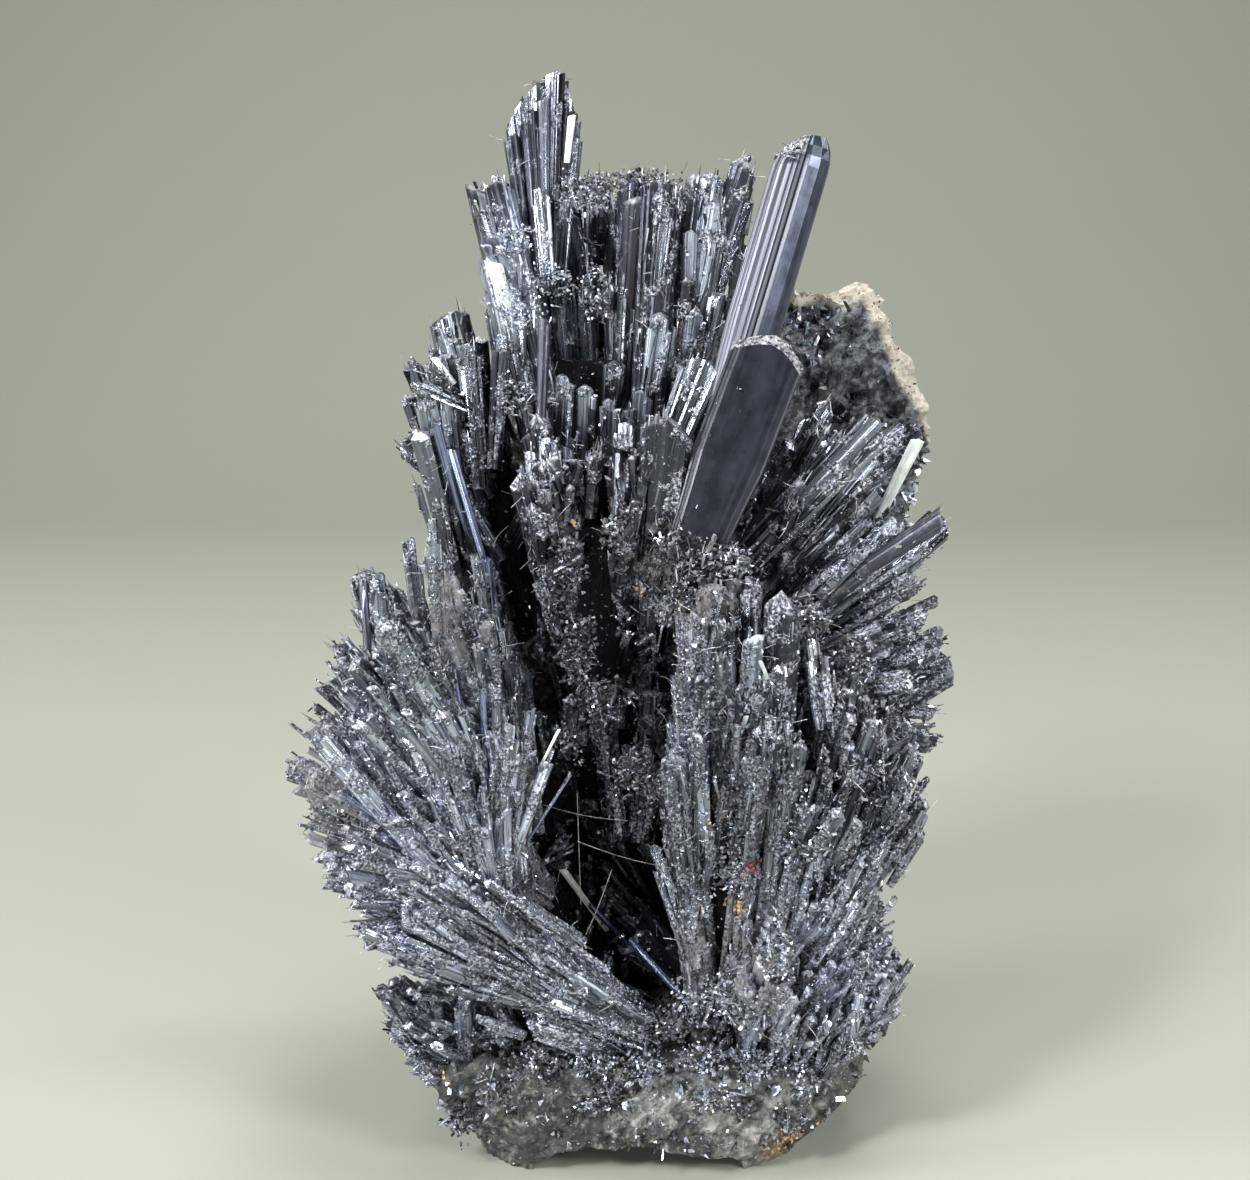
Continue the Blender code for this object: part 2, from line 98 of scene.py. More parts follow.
# Planes that part the growths: a point on each, and its direction.
BOUNDARIES = {
    "matrix_top": ((0, 0, BASE_TOP + GAP / 2), (0, 0, 1)),
    "matrix_front": ((0, SLAB_FRONT - GAP / 2, 0), (0, 1, 0)),
    "matrix_brow": ((0, SLAB_FRONT - GAP / 2, 44), (0, 1, -0.22)),
    "left_cleft": ((2, -4, 10), (1, 0.3, 0.25)),
    "low_left": ((-17.8, -8, 10.3), (-0.81, -0.34, -0.48)),
    "left_shoulder": ((-12, -6, 49), (0.15, 0.73, 0.68)),
    "crown_left": ((-7.5, 0, 45), (1, 0, 0.115)),
    "crown_right": ((4.5, 0, 46), (1, 0, -0.3)),
    "crown_floor": ((0, 0, 45), (0, 0.3, 1)),
    "ridge_back": ((0, -4.5, 50), (0, 1, 0.15)),
    "centre_right": ((4.6, 0, 40), (1, 0, -0.06)),
    "columns_back": ((0, -3, 20), (0, 1, 0.23)),
    "columns_left": ((4.6, 0, 48), (1, 0, -0.108)),
    "hollow_roof": ((0, 0, 24), (0, 0.2, 1)),
    "hollow_right": ((6.8, 0, 0), (1, 0, 0)),
}

Sheaf = namedtuple("Sheaf", "root lean spread roots length slope count width seed")
Single = namedtuple("Single", "base tip width thickness roll top", defaults=(0, "flat"))
Growth = namedtuple("Growth", "sheaf foot singles keep")
# How a spray looks close up: slivers in a bundle, how often a bundle is one broad slab, loose
# crystals for each bundle, their width and longest length, how far they stray, and how light the
# spray's crystals are painted, which stands in for the light and shade that fall on the spray.
Habit = namedtuple("Habit", "bundle slabs loose width longest stray light")

SPRAYS = {
    "left_fan": (
        Growth(
            Sheaf((-7, -2.5, 20), (-54, 5), (40, 25), (2, 3.4), 22.8, (0.46, -0.05), 27, 2.5, 11),
            ((-5.5, 1, 15), 6.5),
            (
                Single((-13, -6, 27), (-20.2, -3.2, 47), 2.8, 2.4),
                Single((-9, -4, 22), (-26.4, -3, 31.4), 2.4, 2),
            ),
            (("matrix_top", 1), ("matrix_front", -1), ("left_cleft", -1), ("left_shoulder", -1)),
        ),
        Growth(
            Sheaf((-8.5, -4, 26), (-17, 6), (14, 20), (2, 2.6), 23.5, (0, -0.05), 10, 2.4, 13),
            ((-8, -3, 24), 4),
            (Single((-8, -8, 24), (-14.2, -7.6, 48.6), 2, 1.7, 0, "point"),),
            (("left_cleft", -1), ("left_shoulder", -1)),
        ),
        Growth(
            Sheaf((2, -5.5, 12.5), (-74, 2), (13, 18), (1, 3.4), 21.5, (0, -0.05), 11, 2.2, 12),
            ((-3, -4, 12), 3.5),
            (),
            (("matrix_top", 1), ("left_cleft", -1)),
        ),
    ),
    "centre_ridge": (
        Growth(
            Sheaf((-1, 1, 24), (-4, 14), (16, 9), (3.4, 3), 22, (0, -0.12), 15, 2.5, 71),
            ((-1, 3.5, 28), 5.5),
            (),
            (("matrix_front", -1), ("left_cleft", 1), ("hollow_roof", 1), ("centre_right", -1),
             ("crown_floor", -1), ("crown_left", 1), ("columns_back", 1)),
        ),
        Growth(
            Sheaf((-1.6, -6.4, 43), (0, 12), (14, 8), (4.2, 1.6), 14.5, (0, -0.2), 16, 2.4, 72),
            ((-1.6, -5.5, 41), 4),
            (Single((1.9, -7.6, 44), (3.1, -10, 59.4), 4.2, 2.6),),
            (("left_cleft", 1), ("centre_right", -1), ("columns_left", -1), ("ridge_back", -1),
             ("crown_left", 1)),
        ),
    ),
    "hollow_prisms": (
        Growth(
            Sheaf((5.4, 2.6, 11.8), (-38, 4), (13, 12), (1, 3), 15, (0.1, -0.1), 7, 2.2, 21),
            ((4.6, 4.4, 12), 3.4),
            (),
            (("matrix_top", 1), ("matrix_front", -1), ("left_cleft", 1), ("columns_back", 1),
             ("hollow_right", -1), ("hollow_roof", -1)),
        ),
    ),
    "right_columns": (
        Growth(
            Sheaf((9.4, -5, 11), (9, 10), (17, 9), (3.8, 3), 32.5, (-0.26, -0.1), 32, 2.6, 31),
            ((10.5, -5, 13), 5.5),
            (
                Single((8, -8, 18), (6.6, -13.4, 47.8), 3.4, 2.6),
                Single((11, -8, 18), (11.4, -13.2, 46.2), 3, 2.4, 0, "point"),
            ),
            (("matrix_top", 1), ("columns_left", 1), ("columns_back", -1)),
        ),
        Growth(
            Sheaf((11, -4.5, 13), (56, 12), (24, 22), (2.5, 2.5), 11.5, (-0.12, -0.1), 12, 2.2, 32),
            ((11, -5, 13), 3.5),
            (),
            (("matrix_top", 1), ("columns_left", 1), ("columns_back", -1)),
        ),
    ),
    "right_fan": (
        Growth(
            Sheaf((6, 2, 36), (66, 3), (40, 20), (2.5, 4), 21, (-0.12, -0.06), 28, 2.6, 41),
            ((8, 4.5, 32), 6.5),
            (
                Single((9, -6.5, 48.5), (18.8, -6.2, 59), 2.8, 2.2),
                Single((13, 2, 49), (23.8, 5.6, 57), 2.2, 1.4),
                Single((12, 1, 38), (25.6, 3.2, 50), 3, 2.4),
                Single((12, 0.5, 33.5), (26.8, 1.6, 38.6), 3.2, 2.4),
                Single((12, 1, 31), (23.6, -0.4, 32.9), 1.7, 1.5),
            ),
            (("matrix_front", -1), ("centre_right", 1), ("columns_back", 1), ("crown_right", 1)),
        ),
        Growth(
            Sheaf((11, 2.8, 19), (72, 2), (42, 24), (2.5, 3), 10.6, (-0.06, 0), 12, 2.4, 42),
            ((11, 3.8, 22.5), 8),
            (),
            (("matrix_top", 1), ("matrix_front", -1), ("hollow_right", 1), ("columns_back", 1)),
        ),
    ),
    "left_columns": (
        Growth(
            Sheaf((-8.3, 2.2, 40), (-9, 0), (4, 10), (3, 4.2), 27, (0.1, -0.08), 20, 2.6, 51),
            ((-9, 3, 43), 5),
            (Single((-9.5, -3, 48), (-15, -4.2, 57.6), 1.6, 1.3, 0, "point"),),
            (("matrix_front", -1), ("matrix_brow", -1), ("left_shoulder", 1), ("crown_left", -1)),
        ),
        Growth(
            Sheaf((-10.5, 2, 52.5), (-27, 0), (17, 18), (1.5, 3.4), 9.5, (0.2, 0), 7, 1.8, 52),
            ((-10.5, 2, 53), 3),
            (),
            (("matrix_brow", -1), ("crown_left", -1)),
        ),
    ),
    "crown": (
        Growth(
            Sheaf((-0.8, 3, 48), (0, -3), (13, 10), (5, 4.2), 30, (0, 0), 27, 3.2, 61),
            ((-0.5, 3, 51), 6),
            (
                Single((3.6, -1.6, 60), (8.9, -1, 77.4), 2.3, 1.9, 0, "point"),
                Single((1.6, -2.2, 58), (2.8, -2.2, 76.4), 3.6, 2.2),
                Single((-5.8, -1.5, 60), (-9.6, -0.6, 76.4), 2.6, 2.1),
            ),
            (("matrix_brow", -1), ("crown_floor", 1), ("crown_left", 1), ("crown_right", -1),
             ("ridge_back", 1)),
        ),
    ),
}

HABITS = {
    "left_fan": Habit(4, 0.9, 18, 1.4, 12, 0.07, 1.5),
    "centre_ridge": Habit(3, 0.9, 12, 1.9, 5.5, 0.14, 0.25),
    "hollow_prisms": Habit(2, 1, 3, 1.4, 9, 0.03, 0.5),
    "right_columns": Habit(4, 0.7, 17, 1.35, 7, 0.12, 0.85),
    "right_fan": Habit(3, 0.85, 12, 1.7, 7.5, 0.09, 0.85),
    "left_columns": Habit(3, 0.85, 12, 1.8, 7.5, 0.09, 0.9),
    "crown": Habit(2, 0.95, 10, 2.1, 7, 0.06, 1),
}
# By a sheaf's seed: how full of loose crystals it is, and the share of its main ones that show.
FILL = {12: 0, 14: 0.6, 15: 0.5, 16: 0.3, 32: 0.5, 61: 0.8}
BUNDLED = {12: 0}

# Growths that lie over the large sheaves, and have no middle of their own.
OVERGROWTHS = {
    "left_fan": (
        Growth(
            Sheaf((1.6, -7.6, 10.6), (-56, 8), (9, 7), (1.8, 1.6), 25.5, (0.05, 0), 26, 1.7, 14),
            ((-0.5, -7.4, 11.6), 2.6),
            (),
            (("matrix_top", 1), ("left_cleft", -1), ("low_left", -1)),
        ),
        Growth(
            Sheaf(
                (-9.8, -10.8, 21.6), (-14, 4), (19, 7), (1.2, 0.8), 18.5, (-0.1, 0), 24, 0.75, 16),
            ((-9.8, -9.8, 22.4), 1.2),
            (),
            (("left_cleft", -1),),
        ),
        Growth(
            Sheaf((-11, -5.4, 8.4), (-34, 14), (32, 20), (3.6, 2.4), 7.6, (0, 0), 12, 1.7, 15),
            ((-11.4, -5.4, 9), 2.2),
            (
                Single((-15.6, -5, 11.4), (-18.4, -7, 14.8), 1.3, 1),
                Single((-12.6, -6.4, 8.6), (-12.4, -9, 15), 1.3, 1),
                Single((-9.6, -6.8, 8.6), (-14.6, -9.6, 12.4), 1.2, 0.9, 0, "point"),
            ),
            (("left_cleft", -1), ("low_left", -1)),
        ),
    ),
    "right_columns": (
        Growth(
            Sheaf((13, -6.5, 8), (12, 12), (16, 16), (3.6, 2.4), 12, (0, 0), 16, 1.3, 33),
            ((13, -6.5, 9), 2.2),
            (),
            (("columns_left", 1),),
        ),
    ),
}
SLOTS = {"hollow_prisms": "dark_stibnite"}  # the slot of a spray that isn't the stibnite slot: its crystals are painted near-black, as painted shade in the hollow

WEDGE_ROOT = (-6, 1.6, 68)
WEDGE_TIPS = (
    (-9, 1.2, 80.6),
    (-8.4, 1.6, 82.2),
    (-7.2, 1.4, 83.6),
    (-6, 1.8, 84.7),
    (-4.9, 1.6, 85.2),
    (-4, 1.8, 82.9),
    (-3.6, 1.5, 80.6),
)
WEDGE_THICKNESS = 3
WEDGE_LAYERS, WEDGE_BLADES = 3, 19  # its layers from front to back, and the blades in each
# Crystals on their own: base, tip, width, thickness and roll.
PRISM = ((6.3, -6.2, 55), (13.9, -1, 80), 4.2, 3.2, 168)
BLADE = ((4.6, -11, 48.9), (10.9, -9.2, 65.6), 5.8, 2, 172)

CORE_SHARE = 0.5  # how far up its crystals a sheaf's close-grown middle reaches
CORE_SLIM = 0.72  # how wide that middle is there, as a share of the sheaf
FOOT_SLIM = 0.7  # how wide the grown-together foot is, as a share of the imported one
COLLAR = 90  # small crystals that crust a foot
SIDE_STEP, FRONT_STEP = 0.7549, 0.5698  # steps that spread a sheaf's crystals evenly
CELL = 0.8  # the size of the cells that tell what a loose crystal sits on
SHORTEST = 0.9  # length of the shortest crystal that is kept
ROOM_STEPS = 12  # how finely a crystal's line is tried against the rooms
UNDERSIDE_SPARE = 0.6  # how far over the underside the crystals stop
LUMP_FILL = 1.12  # chips tried for each one that a lump asks for
DRUSE_DENSITY = 2.6  # small crystals on a square millimetre of rock, at most
DRUSE_PATCH = 4.5  # the size of the druse's patches

# Open clefts that no filling crystal crosses, as boxes: base, tip, width and depth.
CLEFTS = (
    ((-8.2, -3, 41), (-8.9, -2, 58.5), 2.3, 15),
    ((-7.2, -4, 45), (-5.6, -4, 33), 2.5, 13),
    ((-2, -4.5, 41), (-2.2, -4, 52.4), 1.9, 13),
    ((1.5, -6, 43.5), (1.9, -6, 48.6), 1.4, 10),
    ((2.9, -7, 32.5), (2.9, -7, 42.5), 1.6, 11),
    ((5.6, -7, 47.6), (5.8, -7, 52.4), 1.7, 9),
    ((10.6, -9, 34), (10.4, -9, 47), 1.5, 8),
    ((10.9, -14, 22.5), (10.4, -14, 30.5), 1.3, 5),
    ((13.6, -12, 33), (13.2, -12, 41), 1.3, 6),
    ((7, -13, 15.5), (6.6, -13, 24), 1.2, 6),
    ((-1.4, -4, 67.5), (-1.1, -4, 75.6), 1.1, 8),
    ((2.7, -4, 65.5), (3.2, -4, 72), 1.1, 8),
    ((-7.5, -4, 67), (-7.7, -4, 72), 1.1, 7),
    ((-4.6, -4, 61), (-4.8, -4, 66), 1.1, 7),
    ((0.8, -5, 57.4), (1, -5, 65), 0.9, 8),
    ((-10.9, -6, 50), (-11.2, -6, 60), 1, 7),
    ((-18.2, -13.5, 15.8), (-7.6, -13.5, 12), 4.2, 11),
    ((7.2, -8.6, 58.5), (13.2, -4.6, 79), 3.8, 5.4),
    ((-17.4, -9, 38), (-18.6, -9, 45), 1, 6),
    ((-14.4, -9, 40), (-14.9, -9, 48), 1, 6),
)

# Crystals that stand out one by one: base, tip, width and kind, which is "flat" if none is given.
NOTABLE = (
    ((-4.4, -0.3, 78), (-4, -0.3, 81.4), 0.6, "glint"),
    ((-5, -4, 55), (-4.6, -5.6, 62.4), 1.2),
    ((-3.1, -4.2, 54.6), (-2.9, -5.9, 61.6), 1.3, "tablet"),
    ((-1.3, -4.2, 54), (-1.2, -5.8, 60.6), 1.1),
    ((0.6, -4.2, 54), (1.2, -5.6, 61.2), 1.3),
    ((-6.6, -3.6, 55), (-6.9, -5, 61.4), 1.1),
    ((-9, -1.7, 71.8), (-9.7, -0.1, 77), 1.1),
    ((-8.6, -1.9, 69.2), (-10, -3.9, 72.6), 1),
    ((-8.2, -1.2, 66.6), (-8.5, -2.1, 70.6), 0.8, "point"),
    ((-8.9, -2.5, 67.2), (-9.8, -3.8, 70.6), 1.3, "glint"),
    ((-12.9, -3.4, 61.6), (-14.4, -4, 63.6), 0.5, "glint"),
    ((-12.4, -4.9, 60.1), (-15.9, -5.8, 61.8), 0.6),
    ((0.3, -0.9, 67.2), (0.8, -2.5, 75.1), 2, "dark"),
    ((2.3, -3.3, 68.9), (2.9, -3.6, 74.8), 1.2),
    ((-5.9, -2.3, 69.6), (-6.5, -0.2, 76), 1.1),
    ((4.9, -1.7, 66.6), (5, -2.5, 72.9), 1.2),
    ((1.8, -2.4, 59.8), (2.7, -3.4, 66.8), 1.5),
    ((4.7, -1.5, 62.7), (5.4, -2.8, 66.8), 1.2, "point"),
    ((-1.1, -1.3, 58.9), (-0.7, -1.9, 63.1), 1.4),
    ((3.4, -6.4, 56.7), (6.1, -3.9, 63.1), 3, "tablet"),
    ((-4.1, -9.4, 53.2), (-4.2, -8.1, 57.2), 0.9, "dark"),
    ((-5.2, -10, 52.7), (-5.7, -8.2, 58), 1.1),
    ((-0.4, -10.1, 52), (0.1, -7.5, 59), 1.3),
    ((-6.5, -9.4, 51.1), (-7, -7.4, 56.9), 1),
    ((-8.9, -2.4, 49), (-6, -5.9, 54.6), 1.1),
    ((-11.5, -3, 46.6), (-14, -6.8, 58.8), 0.8, "violet"),
    ((-10.4, -6.4, 47.6), (-13, -5.9, 56.9), 0.7, "violet"),
    ((-9.9, -5.3, 41.2), (-10.4, -7.3, 48.7), 0.8, "violet"),
    ((-11.1, -3.5, 53.6), (-11.8, -4.4, 64.6), 1.1),
    ((-9.9, -4, 55.2), (-9.2, -3.2, 65.3), 0.9),
    ((-12.7, -4.7, 54.1), (-13.3, -5.7, 60.6), 0.9),
    ((-6.3, -6.3, 58.2), (-6, -4.2, 66.4), 1, "dark"),
    ((-7.9, -1.9, 62.9), (-8.2, -2.2, 68.6), 0.8),
    ((-8.5, -11.2, 29.4), (-4.9, -11, 36.6), 0.26, "glint"),
    ((-9.1, -11.4, 25.9), (-6.7, -12.4, 38.6), 0.34, "violet"),
    ((-8.9, -11.4, 25.3), (-5.3, -12, 35.4), 0.35),
    ((-8.3, -11.2, 26.4), (-4.1, -10.4, 32.9), 0.3, "violet"),
    ((-18.3, -14.2, 38.8), (-19.3, -10.3, 47.8), 0.7, "dark"),
    ((-17.1, -13.2, 39.3), (-17.5, -14.1, 49.1), 0.8),
    ((-15.4, -6.6, 41.4), (-16.1, -7.5, 50.5), 0.8),
    ((-13.4, -12.1, 42.7), (-13.8, -13, 52.7), 0.8, "bright"),
    ((-11.2, -10.8, 38.6), (-13.4, -6.6, 48.6), 0.7),
    ((11.7, -13.6, 41.3), (11, -11.9, 46.2), 0.3, "glint"),
    ((12, -11.8, 37.2), (9.7, -15, 42.8), 0.3, "glint"),
    ((8.2, -12.3, 35.2), (8.8, -14.2, 38.5), 0.4, "glint"),
    ((14.6, -11.9, 36.8), (13.9, -9.5, 43.1), 1.2),
    ((18.2, -10.3, 33.9), (21.9, -9.4, 35.5), 0.9, "dark"),
    ((17.4, -8, 47.9), (23.3, -8.9, 52.1), 1.6, "dark"),
    ((18.4, -0.3, 38.3), (25.1, -1.2, 41.9), 1.2),
    ((19.4, -0.5, 33.7), (26, -1.4, 38.6), 1.5),
    ((14.7, -5.8, 43.9), (23.5, -2, 49.2), 1),
    ((13.7, -3.8, 41.3), (22.3, -4.7, 46.8), 1.1),
    ((15, -7.2, 45.7), (20.6, -4.4, 51.3), 1),
    ((11.9, -4.7, 47.5), (17.6, -1.5, 54.1), 1.2),
    ((8.1, -0.3, 46.2), (12.6, -3.3, 55.2), 1.4, "dark"),
    ((13.3, -4.9, 49.1), (19.1, -1.8, 55.4), 0.9, "bright"),
    ((20.6, 4.4, 50), (23.4, 3.4, 56.4), 1.1, "glint"),
    ((7.6, -12.8, 39.1), (7, -12.7, 46.8), 1.1),
    ((9, -14.1, 38.7), (9, -11.4, 47.3), 1.1),
    ((5.5, -13.2, 37), (5.3, -13.7, 45.5), 1.1),
    ((8.9, -11.8, 25.9), (9.2, -14.7, 36.9), 1),
    ((10.8, -11.2, 24), (11.6, -12.4, 34.7), 1.1),
    ((13, -10.7, 22.2), (15.7, -9.3, 33.7), 1),
    ((5.3, -10.6, 17.3), (2.3, -6.8, 26), 1),
    ((6.3, -8.6, 18), (4.8, -13.3, 28), 1),
    ((15.7, -9.5, 21.8), (18.3, -10.5, 31.7), 0.9),
    ((6.1, -9, 16.2), (5.4, -11.4, 20.2), 1.5, "bright"),
    ((-1.1, -6.4, 11.9), (-9.6, -10.4, 18.9), 1.3, "bright"),
    ((-1.7, -7.9, 14.8), (-14.1, -11.2, 21.2), 0.9),
    ((-4, -10.4, 17.6), (-16, -12.6, 23.2), 0.8, "bright"),
    ((-5.4, -9.7, 15.2), (-19, -8.9, 20.3), 0.9),
    ((-10.4, -12, 22.8), (-20, -11.8, 28), 0.7, "bright"),
    ((-10.8, -12.2, 24.4), (-20.7, -11.8, 31.6), 0.7, "violet"),
    ((-11.4, -12.4, 26.1), (-20.4, -11.6, 35.8), 0.7, "dark"),
    ((-13.4, -11.4, 15.4), (-16.2, -13.7, 16.8), 0.5, "bright"),
    ((-7.8, -11.8, 12.7), (-11.2, -13.4, 14.8), 0.5, "bright"),
    ((-14.8, -5.4, 7.6), (-14.9, -8.9, 15.7), 0.7),
    ((-12.6, -8.1, 8), (-12.6, -10, 15.4), 0.7),
    ((-17.1, -8, 11.3), (-19.1, -8.9, 15.3), 0.9),
    ((-9.6, -12.6, 26), (-10.5, -13, 30.4), 0.26, "glint"),
    ((-9.9, -12.2, 24.3), (-10.5, -13, 42.2), 0.6, "violet"),
    ((-9.3, -12.2, 24.3), (-9.2, -12.8, 40.8), 0.5, "bright"),
    ((-10.2, -12.4, 24.7), (-12.5, -13, 41.8), 0.6, "violet"),
    ((-8.9, -12, 24.5), (-7.1, -12.2, 38.3), 0.5, "bright"),
    ((-10.5, -12.4, 25.1), (-14.7, -13.2, 39.6), 0.6, "bright"),
    ((-1.5, -1.4, 16.8), (-5.1, -5.2, 23.7), 0.6, "glint"),
    ((1.9, -0.7, 13.4), (-2.8, -3.2, 19.7), 0.5, "violet"),
    ((5.9, -8.4, 12.4), (0.4, -5.6, 17.7), 0.6, "violet"),
)

# Fuzzy lumps of tiny crystals on the large ones: middle, radii, how many, and how light.
LUMPS = (
    ((-8.5, -10.6, 7.4), (2.8, 0.6, 1.8), 260, 0.3),
    ((-1.5, -11, 6.8), (2.4, 0.6, 1.5), 200, 0.42),
    ((7.5, -11.4, 6.6), (3, 0.6, 1.7), 240, 0.48),
    ((12.8, -10.6, 5), (1.8, 0.6, 2.2), 160, 0.48),
    ((-12.6, -9.8, 4.4), (1.6, 0.6, 2), 140, 0.26),
    ((-9, -3, 69.2), (1.2, 0.9, 1.5), 180, 0.76),
    ((-7.6, -3.4, 66.6), (2, 0.8, 1.2), 240, 0.72),
    ((-11.6, -4.4, 57), (1.2, 1, 2.4), 200, 0.5),
    ((-8.6, -5.6, 61), (1.6, 1, 2), 220, 0.5),
    ((12.3, -2.9, 78.6), (0.9, 0.35, 0.5), 90, 1),
    ((-0.4, -10.6, 51.4), (1.5, 1, 1.6), 240, 0.42),
    ((-6.6, -10, 9.2), (2.4, 1.3, 1.5), 260, 0.5),
    ((-2.6, -10.2, 9.4), (2.2, 1.2, 1.4), 240, 0.55),
    ((1.8, -10.2, 9.2), (2.3, 1.2, 1.2), 240, 0.6),
    ((6, -10.4, 9.8), (2.4, 1.2, 1.6), 260, 0.6),
    ((10.2, -10.4, 9.4), (2.3, 1.2, 1.6), 260, 0.6),
    ((13.6, -9.6, 8.4), (2, 1.4, 2), 260, 0.58),
    ((15, -8, 5.6), (1.4, 1.4, 2), 180, 0.5),
    ((-10, -12.4, 17.6), (3.6, 1, 1), 160, 0.5),
    ((-15, -12.6, 22.4), (3.6, 1, 1.2), 120, 0.4),
    ((-13, -13, 30.6), (1.6, 1, 3.2), 160, 0.4),
    ((-17.6, -10.8, 35.4), (1.6, 1.2, 2.2), 120, 0.4),
    ((9, -13.6, 34.6), (1.2, 1, 3), 260, 0.55),
    ((11.2, -13.2, 20.6), (1.4, 1, 2.8), 260, 0.62),
    ((17.4, -8.8, 28.6), (1.4, 1.2, 3), 240, 0.55),
    ((4.4, -11.4, 50), (2.8, 1.2, 1.8), 340, 0.32),
    ((-4.3, -10.4, 48.5), (1.5, 1.2, 3.4), 400, 0.2),
    ((-3.4, -10.2, 43), (1.7, 1.2, 3), 380, 0.2),
    ((-2, -9.6, 38.4), (1.8, 1.3, 2.2), 300, 0.2),
    ((-4.6, -9.4, 35.2), (1.4, 1.2, 1.8), 240, 0.28),
    ((1, -9.8, 33), (2, 1.3, 1.8), 340, 0.32),
    ((4.6, -12.2, 47.4), (2, 1.2, 2.4), 360, 0.3),
    ((7.6, -11.8, 49.6), (1.8, 0.9, 1.4), 220, 0.52),
    ((5.2, -13.4, 40.5), (1.5, 1.2, 4.6), 560, 0.62),
    ((4.4, -12.6, 33), (1.4, 1.2, 3.6), 420, 0.6),
    ((5.2, -11.6, 24), (1.5, 1.3, 4), 460, 0.58),
    ((8, -12.6, 28.5), (1.3, 1.2, 4.2), 420, 0.55),
    ((12.8, -12.4, 29), (1.2, 1.1, 4), 360, 0.55),
    ((15.8, -10.4, 24), (1.4, 1.2, 3.6), 380, 0.58),
    ((9, -11, 15.4), (4.6, 1.8, 2.6), 900, 0.6),
    ((14, -9.6, 16.5), (2.8, 1.8, 3.4), 620, 0.62),
    ((16.4, -7.6, 12.6), (1.8, 1.8, 3.4), 420, 0.6),
    ((3.2, -9, 12), (2.2, 1.4, 1.5), 340, 0.55),
    ((-1.2, -8.6, 12), (3.2, 1.5, 1.8), 460, 0.55),
    ((-6, -9.2, 14), (3.2, 1.4, 1.9), 420, 0.55),
    ((-10.6, -9.6, 12), (3, 1.4, 1.5), 320, 0.5),
    ((-9.2, -8.6, 23.6), (2, 1.3, 2.2), 420, 0.66),
    ((-11.6, -12.4, 26.6), (2, 1, 2.6), 160, 0.5),
    ((-20.6, -9.6, 30.6), (2.6, 1.6, 2), 200, 0.34),
    ((-14, -12.6, 41), (1.9, 1.2, 2), 200, 0.44),
    ((-11.2, -9.4, 44), (1.4, 1.2, 2.2), 260, 0.55),
    ((-12.4, -10.4, 36.2), (1.6, 1.2, 2), 240, 0.55),
    ((0, 0.4, 76.6), (5.4, 3.2, 0.9), 760, 0.42),
    ((-3, -1.6, 75.4), (2.4, 1.4, 1.3), 320, 0.5),
    ((3.2, -1.8, 75.2), (1.8, 1.2, 1.3), 260, 0.42),
    ((-8.4, -2.4, 72.2), (1.5, 1.2, 1.5), 300, 0.9),
    ((-6, -2.6, 69.4), (2.4, 0.5, 1.4), 200, 0.72),
    ((-2.2, -3.2, 68.8), (1.4, 1, 2.6), 240, 0.6),
    ((-14.2, -3.6, 61), (1.4, 1.2, 1.8), 260, 0.45),
    ((18.6, -3, 44.2), (2.4, 1.6, 3), 420, 0.52),
    ((20.6, -3.4, 34.4), (2, 1.8, 2.6), 320, 0.52),
    ((17, -7.4, 41), (1.8, 1.4, 2.4), 300, 0.5),
    ((13.6, -9, 44.6), (1.8, 1.3, 1.6), 260, 0.52),
    ((18.6, -6, 20), (1.6, 1.6, 3.6), 340, 0.55),
)

# ---------------------------------------------------------------- shapes that repeat
# Outlines of crystals, in half widths.
RIBBED = (
    (1, 0), (0.8, 0.56), (0.52, 0.84), (0.4, 0.76), (0.16, 0.96), (-0.3, 0.92),
    (-0.44, 0.82), (-0.66, 0.76), (-1, 0.06), (-0.62, -0.8), (0, -0.95), (0.62, -0.74),
)
SIX_SIDED = ((1, 0), (0.5, 0.92), (-0.46, 0.86), (-1, 0.08), (-0.56, -0.9), (0.5, -0.84))
FOUR_SIDED = ((1, 0), (0.05, 0.9), (-1, 0.06), (-0.04, -0.9))
TABLET = (
    (1, 0), (0.93, 0.72), (0.8, 0.86), (0.7, 0.78), (0.56, 0.98), (0.2, 0.9), (0.04, 1),
    (-0.3, 0.94), (-0.42, 0.84), (-0.74, 0.92), (-0.95, 0.6), (-1, -0.1), (-0.6, -0.9),
    (0.5, -0.94),
)
ROOT_TAPER = 0.74  # how wide a crystal's root is, as a share of its shaft

PAINTED_LIGHT_PATCHES = (  # where the crystals are painted lighter and silvery, as painted light: place, radius and strength
    ((-14, -9, 29), 15, 1),
    ((-10, -8, 32), 7, 1),
    ((-8, -9, 15), 10, 0.6),
    ((14, -9, 18), 13, 1),
    ((5, -12, 36), 9, 0.45),
    ((22, 0, 40), 9, 0.4),
    ((-7.6, -2, 70.5), 6, 0.95),
)

DUST_PATCHES = (  # where brown-grey dust has settled: place, radius and strength
    ((-22.5, -8, 31.5), 7, 1),
    ((-13, -10, 45), 6.5, 0.7),
    ((4.5, -12, 48.5), 6, 0.8),
    ((-2.5, -9, 51), 5.5, 0.4),
    ((8, -12, 17), 8.5, 0.6),
    ((-7, -8, 22), 6, 0.6),
    ((14, -9, 44), 6, 0.5),
)

OCHRE_SPOTS = (  # rust-coloured grains: middle, spread and number
    ((8.6, -13.5, 22.5), 0.45, 16),
    ((6.9, -14, 31), 0.35, 9),
    ((-4, -10, 52), 0.15, 3),
    ((1.1, -10.5, 47), 0.15, 3),
    ((12.6, -10.5, 2.2), 1.1, 30),
    ((-14, -8, 7.6), 0.3, 5),
)
RED_SPOTS = (((9.5, -13.5, 26.2), 0.4, 10),)

HOLLOW_HAIRS = (  # long hairs across the hollow, by their ends
    ((-3.6, -10.5, 31.5), (-3.4, -9, 22)),
    ((-3.6, -10.3, 27.6), (3.6, -9.6, 25.2)),
    ((-3, -10.6, 20.2), (-1, -11, 25.6)),
    ((-6.2, -9.4, 30.2), (0.2, -9.6, 29)),
)

